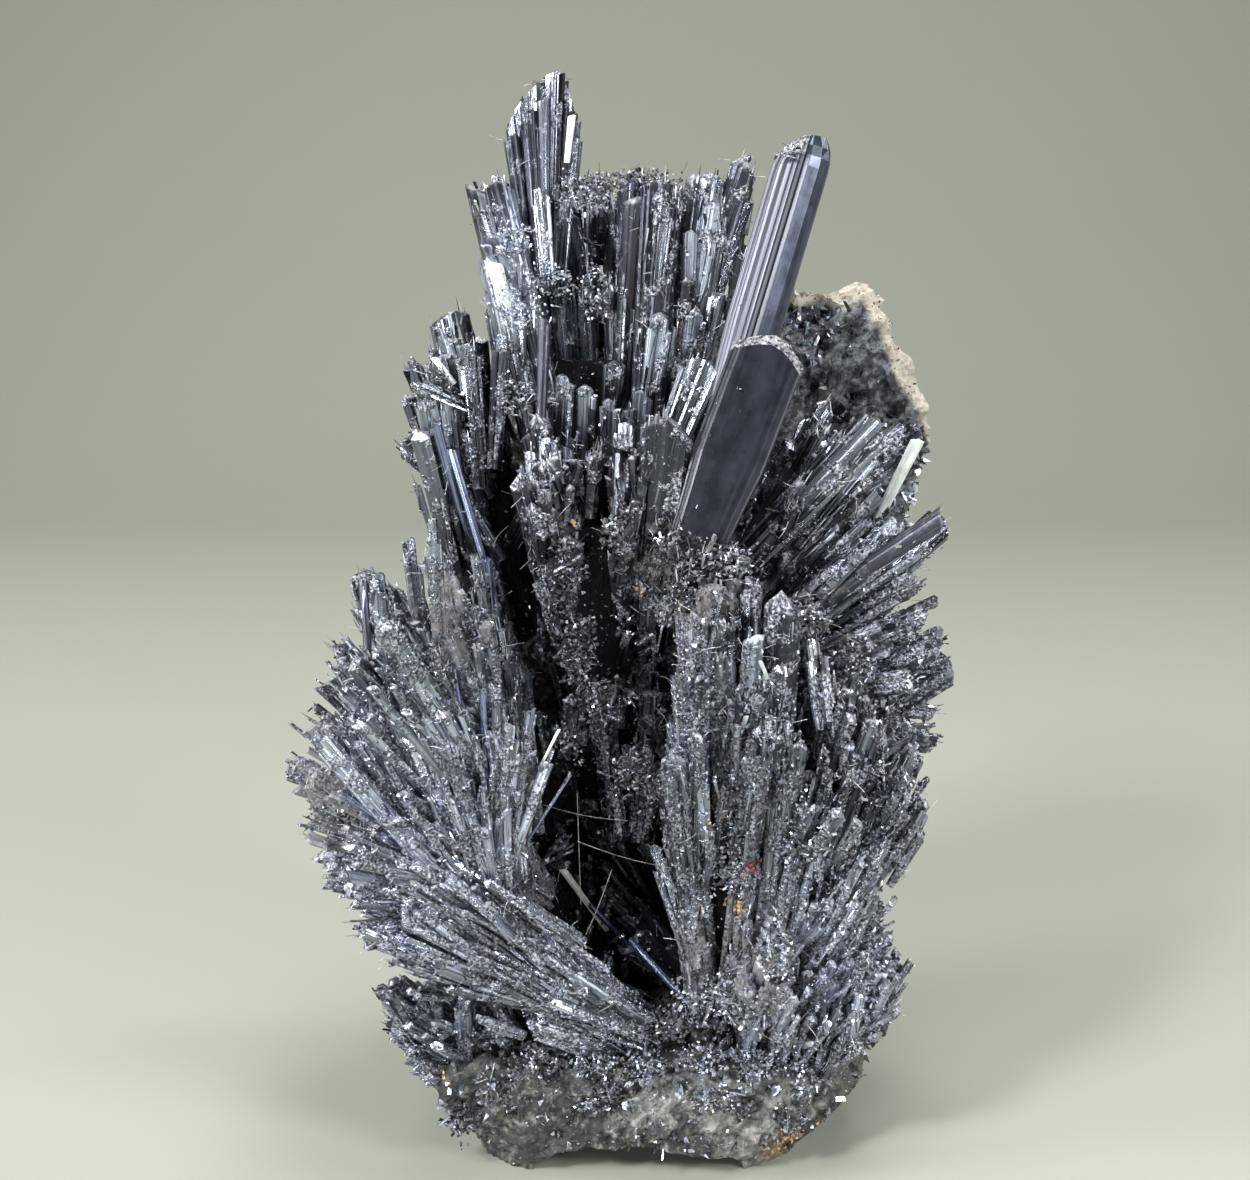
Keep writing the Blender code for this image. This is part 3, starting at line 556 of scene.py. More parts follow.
# ---------------------------------------------------------------- stage, in metres and watts
CAMERA_PLACE, CAMERA_DOWN = (0, -0.1406, 0.0738), 11.6
CAMERA_LENS, CAMERA_SENSOR = 52, 36  # in millimetres, as a camera has them
AIM = (0, 0, 0.04)  # where the lights look
FLOOR_FRONT, FLOOR_BACK, FLOOR_BEND = -0.9, 0.3, 0.25
FLOOR_HALF_WIDTH, BACKDROP_TOP = 1.5, 1.2
LIGHTS = (  # name, place, size and power
    ("key", (-0.3, -0.34, 0.4), 0.12, 2.4),
    ("fill", (0.4, -0.3, 0.28), 0.12, 1.5),
    ("top", (0.06, -0.04, 0.46), 0.16, 1.3),
    ("left_side", (-0.42, -0.1, 0.16), 0.1, 1.5),
    ("right_side", (0.4, 0.06, 0.3), 0.1, 0.7),
    ("back", (-0.1, 0.28, 0.4), 0.16, 0.5),
    ("low", (-0.26, -0.36, 0.03), 0.12, 1.4),
    ("spark_left", (-0.15, -0.2, 0.22), 0.025, 0.3),
    ("spark_right", (0.17, -0.2, 0.16), 0.025, 0.17),
    ("spark_low", (0.14, -0.24, 0.02), 0.03, 0.12),
)


# ---------------------------------------------------------------- settings
def length(name, description, value, least):
    """A length setting, from millimetres."""
    return FloatProperty(
        name=name, description=description, default=value * MM, min=least * MM, unit="LENGTH",
        precision=5)


def number(name, description, value):
    """A setting that counts things."""
    return IntProperty(name=name, description=description, default=value, min=0)


class SpecimenSizes(bpy.types.PropertyGroup):
    """Sizes of the specimen's fine parts."""

    crystal_width: length("Crystal width", "Width of a crystal in a bundle", 0.95, 0.2)
    loose_width: length(
        "Loose crystal width", "Width of the finer crystals between the bundles", 0.6, 0.1)
    striation: length("Striation", "Distance between the lines along a crystal", 0.15, 0.02)
    rock_detail: length("Rock detail", "Size of the smallest facet of the rock", 0.5, 0.2)
    druse_length: length(
        "Druse length", "Length of the small crystals that crust the rock", 1.5, 0.2)
    hair_width: length("Hair width", "Thickness of a hair-fine crystal", 0.055, 0.01)
    grain_size: length("Grain size", "Size of a grain of dust", 0.17, 0.03)
    hairs: number("Hairs", "How many hair-fine crystals there are", 2600)
    chips: number("Chips", "How many tiny crystals crust the large ones", 30000)
    grains: number("Grains", "How many grains of dust there are", 9000)
    sprigs: number("Sprigs", "How many small crystals sit on the large ones", 3600)


def colour(name, description, value):
    """A colour setting."""
    return FloatVectorProperty(
        name=name, description=description, default=(*value, 1.0), subtype="COLOR", size=4,
        min=0.0, max=1.0)


class SpecimenColours(bpy.types.PropertyGroup):
    """Colours of the specimen's finishes."""

    lead: colour("Lead grey", "Stibnite where it is bright", (0.60, 0.66, 0.78))
    # The dark end of the stibnite: the painted shade in its grooves and at its roots, and its
    # darkest crystals.
    shade: colour("Dark grey", "Stibnite in its grooves", (0.030, 0.031, 0.042))
    violet: colour("Violet sheen", "Tarnish on some faces", (0.17, 0.19, 0.36))
    frost: colour("Frost", "Broken tops of crystals", (0.62, 0.62, 0.66))
    crust: colour("Crust", "The bright specks of crusted faces", (0.70, 0.72, 0.82))
    pale_stibnite: colour("Pale stibnite", "Stibnite in the pale places", (0.80, 0.84, 1.0))
    # Painted light: the lit colour that the stibnite is painted in the pale patches.
    silver: colour("Silver", "The brightest facets and grains", (0.76, 0.82, 0.96))
    lilac: colour("Lilac", "Blades with a blue-violet sheen", (0.26, 0.30, 0.46))
    # Painted glint: near-white, barely metallic faces that look lit from any side.
    glint: colour("Glint", "Facets that catch the light", (0.86, 0.92, 0.90))
    dust: colour("Dust", "Brown-grey dust", (0.17, 0.158, 0.155))
    rock: colour("Rock", "The rock's main colour", (0.11, 0.112, 0.104))
    pale_rock: colour("Pale rock", "The rock's pale grains", (0.35, 0.35, 0.335))
    cream_rock: colour("Cream rock", "The bare ledge at the upper right", (0.66, 0.62, 0.53))
    ochre: colour("Ochre", "Rust-stained grains", (0.50, 0.27, 0.09))
    floor: colour("Floor", "The floor and backdrop", (0.30, 0.315, 0.265))


# ---------------------------------------------------------------- node trees
class Graph:
    """Adds nodes to a tree and links them."""

    def __init__(self, tree):
        self.tree = tree

    def add(self, kind, inputs=None, **settings):
        """A node with these settings. Its inputs get values or the sockets that feed them."""
        node = self.tree.nodes.new(kind)
        for key, value in settings.items():
            setattr(node, key, value)
        self.fill(node, inputs or {})
        return node

    def feed(self, socket, value):
        """Links a socket, or sets a value."""
        if isinstance(value, bpy.types.NodeSocket):
            self.tree.links.new(value, socket)
        else:
            socket.default_value = value

    def fill(self, node, inputs):
        """Feeds these inputs of a node."""
        for key, value in inputs.items():
            self.feed(node.inputs[key], value)

    def out(self, kind, inputs=None, name=None, **settings):
        """The first live output of a new node, or the one with this name."""
        node = self.add(kind, inputs, **settings)
        return next(o for o in node.outputs if o.enabled and name in (None, o.name))

    def math(self, operation, first, second=0.5, clamp=False):
        return self.out(
            "ShaderNodeMath", {0: first, 1: second}, operation=operation, use_clamp=clamp)

    def times(self, first, second):
        return self.math("MULTIPLY", first, second)

    def plus(self, first, second, clamp=False):
        return self.math("ADD", first, second, clamp)

    def vector(self, operation, first, second):
        return self.out("ShaderNodeVectorMath", {0: first, 1: second}, operation=operation)

    def scaled(self, vector, scale):
        return self.out(
            "ShaderNodeVectorMath", {"Vector": vector, "Scale": scale}, operation="SCALE",
            name="Vector")

    def limits(self, value, low, high, start=0.0, end=1.0):
        """Value from low to high, turned into start to end and held there."""
        return self.out(
            "ShaderNodeMapRange",
            {"Value": value, "From Min": low, "From Max": high, "To Min": start, "To Max": end})

    def blend(self, factor, first, second):
        """A mix of two colours."""
        return self.out(
            "ShaderNodeMix", {0: factor, 6: first, 7: second}, data_type="RGBA", name="Result")

    def noise(self, vector, scale, detail=3.0, roughness=0.55):
        return self.out(
            "ShaderNodeTexNoise",
            {"Vector": vector, "Scale": scale, "Detail": detail, "Roughness": roughness})

    def attribute(self, name):
        return self.out("ShaderNodeAttribute", name="Fac", attribute_name=name)

    def axes(self, vector):
        """A vector's parts, by their letters."""
        return self.add("ShaderNodeSeparateXYZ", {"Vector": vector}).outputs


def new_material(name):
    """A material with its Principled shader, its graph and its place in millimetres."""
    made = bpy.data.materials.new(name)
    made.use_nodes = True
    graph = Graph(made.node_tree)
    shader = made.node_tree.nodes["Principled BSDF"]
    place = graph.out("ShaderNodeTexCoord", name="Object")
    return made, graph, shader, graph.scaled(place, 1 / MM)


def patches(graph, place, spots):
    """How much a place is inside these round patches, from 0 to 1."""
    total = None
    for centre, radius, strength in spots:
        away = graph.out(
            "ShaderNodeVectorMath", {0: place, 1: centre}, operation="DISTANCE", name="Value")
        near = graph.limits(away, radius, radius * 0.35, 0.0, strength)
        total = near if total is None else graph.math("MAXIMUM", total, near)
    return total


def bump(graph, height, distance, strength=1.0, under=None):
    """Relief from a height, over the relief under it."""
    inputs = {"Height": height, "Distance": distance, "Strength": strength}
    if under is not None:
        inputs["Normal"] = under
    return graph.out("ShaderNodeBump", inputs)


def stibnite_material(name, settings, colours, lead=None, low=0.06, dull=0.35, worn=1.0,
                      metallic=0.94, matt=0.0):
    """Metallic crystal faces with lines along each crystal, frosted tops, sheen and dust, with
    painted shade in the grooves and towards the roots and painted light in the pale patches.

    low is how light the darkest crystal is, dull how light the painted shade in the grooves is,
    worn how much dust and wear there is, how strong the painted light of the pale patches is and
    whether the crystals get painted shade towards their roots, and matt what is added to the
    roughness of clean faces.
    """
    made, graph, shader, place = new_material(name)
    growth = graph.out("ShaderNodeUVMap", uv_map="growth")
    parts = graph.axes(growth)
    tint = graph.attribute("tint")
    around = graph.times(parts["X"], graph.attribute("girth"))
    lines = graph.out("ShaderNodeCombineXYZ", {
        "X": graph.math("DIVIDE", around, settings.striation / MM),
        "Y": graph.times(parts["Y"], 1.3),
        "Z": graph.times(tint, 91.0),
    })
    ribs = graph.noise(lines, 0.36, 2.0, 0.6)
    fine = graph.noise(lines, 1.1, 2.0, 0.6)
    own = graph.math("FRACT", graph.times(tint, 7.3))
    cloud = graph.noise(place, 0.16, 3.0)
    mottle = graph.noise(place, 1.5, 5.0, 0.7)
    # Painted shade: the grooves between the ribs are painted darker than the ribs.
    light = graph.limits(ribs, 0.34, 0.66, dull, 1.0)
    # Painted light: the crystals are painted lighter and silvery in the patches where the light
    # falls brightest.
    pale = graph.times(patches(graph, place, PAINTED_LIGHT_PATCHES), worn)
    own_light = graph.limits(tint, 0.12, 1.0, low, 1.0)
    own_light = graph.plus(own_light, graph.times(pale, 0.6), clamp=True)
    light = graph.times(light, own_light)
    # Painted shade: each crystal is painted darker towards its root, deep in the spray, and less so
    # in the painted-light patches.
    if worn:
        painted_root_shade = graph.limits(parts["Y"], 0.05, 0.65, 0.2, 1.0)
        painted_root_shade = graph.plus(painted_root_shade, graph.times(pale, 0.3), clamp=True)
        light = graph.times(light, painted_root_shade)
    tone = graph.blend(pale, lead or colours.lead, colours.pale_stibnite)
    tone = graph.blend(graph.limits(cloud, 0.50, 0.66, 0.0, 0.4 * worn), tone, colours.violet)
    base = graph.blend(light, colours.shade, tone)
    frost = graph.times(
        graph.limits(parts["Y"], 0.985, 1.06), graph.limits(mottle, 0.4, 0.6, 0.1, 0.8))
    base = graph.blend(frost, base, colours.frost)
    height = graph.axes(place)["Z"]
    speckle = graph.noise(place, 4.2, 3.0, 0.7)
    crusted = graph.plus(
        graph.noise(place, 0.55, 4.0, 0.65), graph.limits(height, 64, 40, -0.05, 0.03))
    crusted = graph.limits(crusted, 0.50, 0.56, 0.0, 0.9 * worn)
    grains = graph.blend(graph.limits(speckle, 0.42, 0.66), colours.shade, colours.crust)
    base = graph.blend(crusted, base, grains)
    dusty = patches(graph, place, DUST_PATCHES)
    dusty = graph.plus(graph.times(dusty, 0.34), mottle)
    dusty = graph.limits(dusty, 0.60, 0.78, 0.0, 0.85 * worn)
    base = graph.blend(dusty, base, colours.dust)
    rough = graph.limits(fine, 0.3, 0.7, 0.08 + matt, 0.22 + matt)
    rough = graph.plus(rough, graph.times(own, 0.22))
    rough = graph.plus(rough, graph.times(frost, 0.25))
    rough = graph.plus(rough, graph.times(crusted, 0.16))
    rough = graph.plus(rough, graph.times(dusty, 0.45), clamp=True)
    metal = graph.limits(dusty, 0.0, 0.85, metallic, 0.1)
    relief = bump(graph, ribs, 0.07 * MM, 0.8)
    relief = bump(graph, fine, 0.016 * MM, 0.6, relief)
    if worn:
        relief = bump(graph, mottle, 0.08 * MM, 0.4 * worn, relief)
        relief = bump(graph, graph.times(speckle, crusted), 0.22 * MM, 0.8, relief)
    graph.fill(shader, {
        "Base Color": base, "Roughness": rough, "Metallic": metal, "Normal": relief})
    return made


def crust_material(colours):
    """Tiny crystals and grains, each black, brown-grey or bright by its tint."""
    made, graph, shader, place = new_material("crust")
    tint = graph.attribute("tint")
    speckle = graph.noise(place, 2.6, 3.0, 0.6)
    base = graph.blend(graph.limits(tint, 0.15, 0.45), colours.shade, colours.dust)
    graph.fill(shader, {
        "Base Color": graph.blend(graph.limits(tint, 0.42, 0.75), base, colours.silver),
        "Metallic": graph.limits(tint, 0.4, 0.7, 0.35, 0.95),
        "Roughness": graph.limits(speckle, 0.35, 0.65, 0.16, 0.5),
    })
    return made


def plain_material(name, colour, roughness, metallic):
    """One colour with fine streaks of wear."""
    made, graph, shader, place = new_material(name)
    growth = graph.out("ShaderNodeUVMap", uv_map="growth")
    streaks = graph.noise(graph.vector("MULTIPLY", growth, (2.2, 2.0, 1.0)), 1.0, 4.0, 0.6)
    clouds = graph.noise(place, 0.7, 3.0, 0.6)
    streaks = graph.plus(graph.times(streaks, 0.5), graph.times(clouds, 0.5))
    darker = tuple(part * 0.62 for part in colour[:3]) + (1.0,)
    graph.fill(shader, {
        "Base Color": graph.blend(graph.limits(streaks, 0.40, 0.58), darker, colour),
        "Roughness": graph.limits(streaks, 0.3, 0.7, roughness, roughness + 0.15),
        "Metallic": metallic,
        "Normal": bump(graph, streaks, 0.05 * MM, 0.5),
    })
    return made


def heart_material(colours):
    """The close-grown middle of a spray, painted near-black as painted shade between the crystals
    in front of it.
    """
    made, graph, shader, place = new_material("crystal_heart")
    flecks = graph.noise(place, 2.4, 5.0, 0.7)
    stretched = graph.noise(graph.vector("MULTIPLY", place, (3.4, 3.4, 0.5)), 1.0, 3.0)
    light = graph.times(graph.limits(flecks, 0.5, 0.8), 0.35)
    graph.fill(shader, {
        "Base Color": graph.blend(light, (0.005, 0.005, 0.007, 1.0), colours.shade),
        "Specular IOR Level": 0.12,
        "Metallic": graph.limits(flecks, 0.4, 0.7, 0.3, 0.8),
        "Roughness": graph.limits(stretched, 0.3, 0.7, 0.35, 0.7),
        "Normal": bump(graph, stretched, 0.4 * MM, 0.9),
    })
    return made


def rock_material(colours):
    """Granular rock: pale and grey-green grains below, a dark crust behind, a cream ledge, and
    painted shade behind the crystals.
    """
    made, graph, shader, place = new_material("matrix_rock")
    parts = graph.axes(place)
    broad = graph.noise(place, 0.17, 4.0, 0.6)
    grain = graph.noise(place, 0.9, 6.0, 0.72)
    crumbs = graph.out("ShaderNodeTexVoronoi", {"Vector": place, "Scale": 1.3}, name="Color")
    crumb = graph.add("ShaderNodeSeparateColor", {"Color": crumbs}).outputs["Red"]

    # Pale grains, thickest on the front of the foot.
    pale = graph.plus(graph.times(grain, 0.87), graph.times(crumb, 0.18))
    front = patches(graph, place, (
        ((5.0, -11.0, 6.0), 10.0, 0.16), ((9.5, -11.0, 5.0), 7.0, 0.10)))
    pale = graph.plus(graph.plus(pale, front), graph.times(broad, 0.7))
    pale = graph.limits(pale, 0.89, 1.15)
    base = graph.blend(pale, colours.rock, colours.pale_rock)

    # A green cast low down, weathering behind, and rust in a few places.
    moss = graph.times(graph.limits(broad, 0.50, 0.64), graph.limits(parts["Z"], 9, 3, 0, 0.6))
    base = graph.blend(moss, base, (0.10, 0.115, 0.075, 1.0))
    weather = graph.plus(broad, graph.times(grain, 0.4))
    weathered = graph.blend(
        graph.limits(weather, 0.62, 0.80), (0.085, 0.082, 0.075, 1.0), (0.36, 0.345, 0.30, 1.0))
    behind = graph.times(graph.limits(parts["Y"], 10.5, 14.0), 0.85)
    base = graph.blend(behind, base, weathered)
    rust = patches(graph, place, (
        ((13.5, -9.5, 1.0), 3.2, 0.9), ((6.0, 19.0, 30.0), 5.0, 0.5),
        ((-9.0, 18.0, 14.0), 4.0, 0.5)))
    rust = graph.times(rust, graph.limits(grain, 0.4, 0.6))
    base = graph.blend(rust, base, colours.ochre)

    # Painted shade: near-black behind the crystals. Darker also on the foot's left corner.
    inner = graph.times(
        graph.limits(parts["Y"], SLAB_FRONT + 3.2, SLAB_FRONT + 1.6),
        graph.limits(parts["Z"], BASE_TOP - 2.0, BASE_TOP + 1.0))
    inner = graph.times(inner, graph.limits(parts["Z"], 59.0, 55.0))
    base = graph.blend(graph.times(inner, 0.9), base, (0.014, 0.014, 0.016, 1.0))
    corner = patches(graph, place, (
        ((-14.0, -8.0, 3.0), 16.0, 0.55), ((3.0, -10.0, 1.0), 6.0, 0.12)))
    darkening = graph.plus(broad, corner)
    dark = graph.times(
        graph.limits(darkening, 0.46, 0.58), graph.limits(grain, 0.66, 0.46, 0, 0.94))
    base = graph.blend(dark, base, (0.022, 0.024, 0.026, 1.0))

    # The cream ledge at the upper right, and the crusted slab beside it.
    slope = graph.out(
        "ShaderNodeVectorMath", {0: place, 1: RIM_SLOPE}, operation="DOT_PRODUCT", name="Value")
    ledge = graph.math("MAXIMUM", graph.math("SUBTRACT", parts["Z"], RIM_TOP),
                       graph.math("SUBTRACT", slope, RIM_REACH))
    ledge = graph.plus(ledge, graph.times(graph.math("SUBTRACT", broad, 0.5), 5.0))
    ledge = graph.times(graph.limits(ledge, -1.1, -0.5), graph.limits(parts["X"], 11.0, 13.0))
    upper = graph.times(
        graph.limits(parts["Z"], 42.0, 50.0), graph.limits(parts["X"], 6.0, 9.0))
    upper = graph.times(upper, graph.limits(parts["Y"], 17.0, 15.5))
    crusted = graph.blend(
        graph.limits(grain, 0.46, 0.66), (0.022, 0.025, 0.030, 1.0), (0.26, 0.28, 0.31, 1.0))
    base = graph.blend(graph.times(upper, 0.9), base, crusted)
    cream = graph.blend(
        graph.limits(grain, 0.40, 0.72), (0.34, 0.31, 0.25, 1.0), colours.cream_rock)
    base = graph.blend(ledge, base, cream)

    relief = bump(graph, grain, 0.35 * MM, 0.8)
    graph.fill(shader, {
        "Base Color": base,
        "Roughness": graph.limits(grain, 0.3, 0.7, 0.6, 0.95),
        "Specular IOR Level": 0.35,
        "Normal": bump(graph, crumb, 0.12 * MM, 0.6, relief),
    })
    return made


def grain_material(name, first, second, roughness, metallic=0.0):
    """Small grains and hairs: two colours in patches."""
    made, graph, shader, place = new_material(name)
    mixed = graph.noise(place, 1.9, 4.0, 0.7)
    graph.fill(shader, {
        "Base Color": graph.blend(graph.limits(mixed, 0.42, 0.62), first, second),
        "Roughness": graph.limits(mixed, 0.3, 0.7, roughness - 0.12, roughness + 0.1),
        "Metallic": metallic,
    })
    return made


def frost_material(colours):
    """Broken and etched tops: pale, rough and glittering."""
    made, graph, shader, place = new_material("frosted_top")
    sparkle = graph.noise(place, 3.2, 5.0, 0.75)
    graph.fill(shader, {
        "Base Color": graph.blend(
            graph.limits(sparkle, 0.42, 0.62), colours.shade, colours.frost),
        "Metallic": graph.limits(sparkle, 0.4, 0.6, 0.4, 0.85),
        "Roughness": graph.limits(sparkle, 0.35, 0.65, 0.2, 0.55),
        "Normal": bump(graph, sparkle, 0.25 * MM, 1.0),
    })
    return made


def interface(tree, sockets):
    """Gives a Geometry Nodes tree its named inputs and its output."""
    for name, kind in sockets:
        tree.interface.new_socket(name, in_out="INPUT", socket_type="NodeSocket" + kind)
    tree.interface.new_socket("Geometry", in_out="OUTPUT", socket_type="NodeSocketGeometry")
    graph = Graph(tree)
    return graph, graph.add("NodeGroupInput").outputs, graph.add("NodeGroupOutput").inputs


def named(graph, name, kind):
    """A named attribute of the geometry."""
    return graph.out(
        "GeometryNodeInputNamedAttribute", {"Name": name}, name="Attribute", data_type=kind)


def shapes_of(graph, crystals):
    """A collection's shapes, each on its own, for points to pick from."""
    return graph.out("GeometryNodeCollectionInfo", {
        "Collection": crystals, "Separate Children": True, "Reset Children": True})


def finished(graph, geometry, finish):
    """Real geometry with its finish."""
    real = graph.out("GeometryNodeRealizeInstances", {"Geometry": geometry})
    return graph.out("GeometryNodeSetMaterial", {"Geometry": real, "Material": finish})


def growth_tree():
    """Stands a crystal on each root, in its size and direction, and tops it off.

    Faces in the input are a spray's close-grown middle, and are passed on.
    """
    tree = bpy.data.node_groups.new("crystal_growth", "GeometryNodeTree")
    graph, given, result = interface(tree, (
        ("Geometry", "Geometry"), ("Crystals", "Collection"), ("Crystal Finish", "Material"),
        ("Heart Finish", "Material"), ("Top Height", "Float"),
    ))
    split = graph.add("GeometryNodeSeparateGeometry", {
        "Geometry": given["Geometry"], "Selection": named(graph, "heart", "BOOLEAN")})
    shapes = shapes_of(graph, given["Crystals"])
    turn = graph.out("FunctionNodeEulerToRotation", {"Euler": named(graph, "turn", "FLOAT_VECTOR")})
    size = named(graph, "size", "FLOAT_VECTOR")
    stood = graph.out("GeometryNodeInstanceOnPoints", {
        "Points": split.outputs["Inverted"], "Instance": shapes, "Pick Instance": True,
        "Instance Index": named(graph, "shape", "INT"), "Rotation": turn, "Scale": size})
    real = graph.out("GeometryNodeRealizeInstances", {"Geometry": stood})
    height = graph.times(named(graph, "cap", "FLOAT"), given["Top Height"])
    height = graph.times(height, graph.times(named(graph, "girth", "FLOAT"), MM))
    topped = graph.out("GeometryNodeSetPosition", {
        "Geometry": real, "Offset": graph.scaled(named(graph, "axis", "FLOAT_VECTOR"), height)})
    dressed = graph.out("GeometryNodeSetMaterial", {
        "Geometry": topped, "Material": given["Crystal Finish"]})
    heart = graph.out("GeometryNodeSetMaterial", {
        "Geometry": split.outputs["Selection"], "Material": given["Heart Finish"]})
    joined = graph.add("GeometryNodeJoinGeometry")
    graph.feed(joined.inputs[0], dressed)
    graph.feed(joined.inputs[0], heart)
    graph.feed(result[0], joined.outputs[0])
    return tree


def crust_tree():
    """Scatters small crystals over a surface, in patches, leaning to all sides."""
    tree = bpy.data.node_groups.new("druse_crust", "GeometryNodeTree")
    graph, given, result = interface(tree, (
        ("Geometry", "Geometry"), ("Crystals", "Collection"), ("Finish", "Material"),
        ("Density", "Float"), ("Length", "Float"), ("Patch Size", "Float"), ("Seed", "Int"),
    ))
    place = graph.out("GeometryNodeInputPosition")
    cloud = graph.noise(graph.vector("DIVIDE", place, given["Patch Size"]), 1.0, 2.0)
    cover = graph.times(graph.limits(cloud, 0.44, 0.6), named(graph, "crust", "FLOAT"))
    spread = graph.add("GeometryNodeDistributePointsOnFaces", {
        "Mesh": given["Geometry"], "Density": graph.times(cover, given["Density"]),
        "Seed": given["Seed"]})
    lean = graph.out("FunctionNodeRandomValue", {
        0: (-0.75, -0.75, -3.1), 1: (0.75, 0.75, 3.1), "Seed": 1}, data_type="FLOAT_VECTOR")
    lean = graph.out("FunctionNodeEulerToRotation", {"Euler": lean})
    turn = graph.out("FunctionNodeRotateRotation", {
        "Rotation": spread.outputs["Rotation"], "Rotate By": lean}, rotation_space="LOCAL")
    size = graph.out("FunctionNodeRandomValue", {
        0: (0.20, 0.18, 0.22), 1: (0.46, 0.42, 0.75), "Seed": 2}, data_type="FLOAT_VECTOR")
    shapes = shapes_of(graph, given["Crystals"])
    stood = graph.out("GeometryNodeInstanceOnPoints", {
        "Points": spread.outputs["Points"], "Instance": shapes, "Pick Instance": True,
        "Rotation": turn, "Scale": graph.scaled(size, given["Length"])})
    tinted = graph.out("GeometryNodeStoreNamedAttribute", {
        "Geometry": stood, "Name": "tint",
        "Value": graph.out("FunctionNodeRandomValue", {"Seed": 3}, data_type="FLOAT"),
    }, data_type="FLOAT", domain="INSTANCE")
    girth = graph.out("GeometryNodeStoreNamedAttribute", {
        "Geometry": tinted, "Name": "girth", "Value": 0.45}, data_type="FLOAT", domain="INSTANCE")
    graph.feed(result[0], finished(graph, girth, given["Finish"]))
    return tree


def hair_tree():
    """Turns lines into hair-fine crystals."""
    tree = bpy.data.node_groups.new("hair_crystals", "GeometryNodeTree")
    graph, given, result = interface(tree, (
        ("Geometry", "Geometry"), ("Finish", "Material"), ("Hair Width", "Float")))
    curve = graph.out("GeometryNodeMeshToCurve", {"Mesh": given["Geometry"]})
    profile = graph.out("GeometryNodeCurvePrimitiveCircle", {
        "Resolution": 4, "Radius": graph.times(given["Hair Width"], 0.5)}, name="Curve")
    tube = graph.out("GeometryNodeCurveToMesh", {
        "Curve": curve, "Profile Curve": profile, "Fill Caps": True})
    graph.feed(result[0], finished(graph, tube, given["Finish"]))
    return tree


def run_nodes(obj, tree, values):
    """Runs a tree on obj with these inputs, and keeps what it makes as obj's plain mesh."""
    modifier = obj.modifiers.new(tree.name, "NODES")
    modifier.node_group = tree
    sockets = {item.name: item for item in tree.interface.items_tree if item.in_out == "INPUT"}
    for name, value in values.items():
        modifier[sockets[name].identifier] = value
    graph = bpy.context.evaluated_depsgraph_get()
    made = bpy.data.meshes.new_from_object(obj.evaluated_get(graph))
    obj.modifiers.clear()
    made.name = obj.name
    obj.data = made
    return obj


# ---------------------------------------------------------------- helpers
def once(kind, name, make):
    """The data block of this kind and name, made the first time that it is asked for."""
    return getattr(bpy.data, kind).get(name) or make()


def within(value, low=0.0, high=1.0):
    """The value, held between these limits."""
    return min(high, max(low, value))


def any_way(draw):
    """A random direction of random length."""
    return Vector([draw.gauss(0, 1) for _ in range(3)])


# ---------------------------------------------------------------- meshes
def add_object(name, mesh):
    """An object in the scene, at the origin."""
    obj = bpy.data.objects.new(name, mesh)
    bpy.context.scene.collection.objects.link(obj)
    return obj


def finish_piece(obj, slot, *nodes):
    """Ties a finished piece to the frame."""
    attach(obj, BODY)
    if nodes:
        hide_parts(*nodes)


def crystal_shape(name, section, tops, apex):
    """One crystal a unit wide and long, on its root, for the trees to stand on points.

    tops is how far each corner of its top stands over the shaft's end, and apex the place of
    the top's middle, in widths.
    """
    count = len(section)
    corners = [(x / 2 * ROOT_TAPER, y / 2 * ROOT_TAPER, 0.0) for x, y in section]
    corners += [(x / 2, y / 2, 1.0) for x, y in section]
    corners.append((apex[0] / 2, apex[1] / 2, 1.0))
    around, total = [], 0.0
    for i in range(count + 1):
        around.append(total)
        here, there = section[i % count], section[(i + 1) % count]
        total += math.dist(here, there) / 2
    faces, places = [], []
    for i in range(count):
        j = (i + 1) % count
        faces.append((i, j, count + j, count + i))
        places += [(around[i], 0), (around[i + 1], 0), (around[i + 1], 1), (around[i], 1)]
    for i in range(count):
        faces.append((count + i, count + (i + 1) % count, 2 * count))
        places += [(around[i], 1.0), (around[i + 1], 1.0), (around[i], 1.1)]
    faces.append(tuple(range(count))[::-1])
    places += [(around[i], 0.0) for i in reversed(range(count))]
    mesh = bpy.data.meshes.new(name)
    mesh.from_pydata(corners, [], faces)
    cap = mesh.attributes.new("cap", "FLOAT", "POINT")
    cap.data.foreach_set("value", [0.0] * count + list(tops) + [apex[2]])
    layer = mesh.uv_layers.new(name="growth")
    layer.data.foreach_set("uv", np.array(places, np.float32).ravel())
    return bpy.data.objects.new(name, mesh)


def slanted(section, rise, ragged, draw):
    """Heights of a top's corners: a slope across it, and uneven."""
    return [rise * x + draw.uniform(-ragged, ragged) for x, _ in section]


def collection_of(name, shapes):
    """A collection that holds these shapes."""
    held = bpy.data.collections.new(name)
    for shape in shapes:
        held.objects.link(shape)
    return held


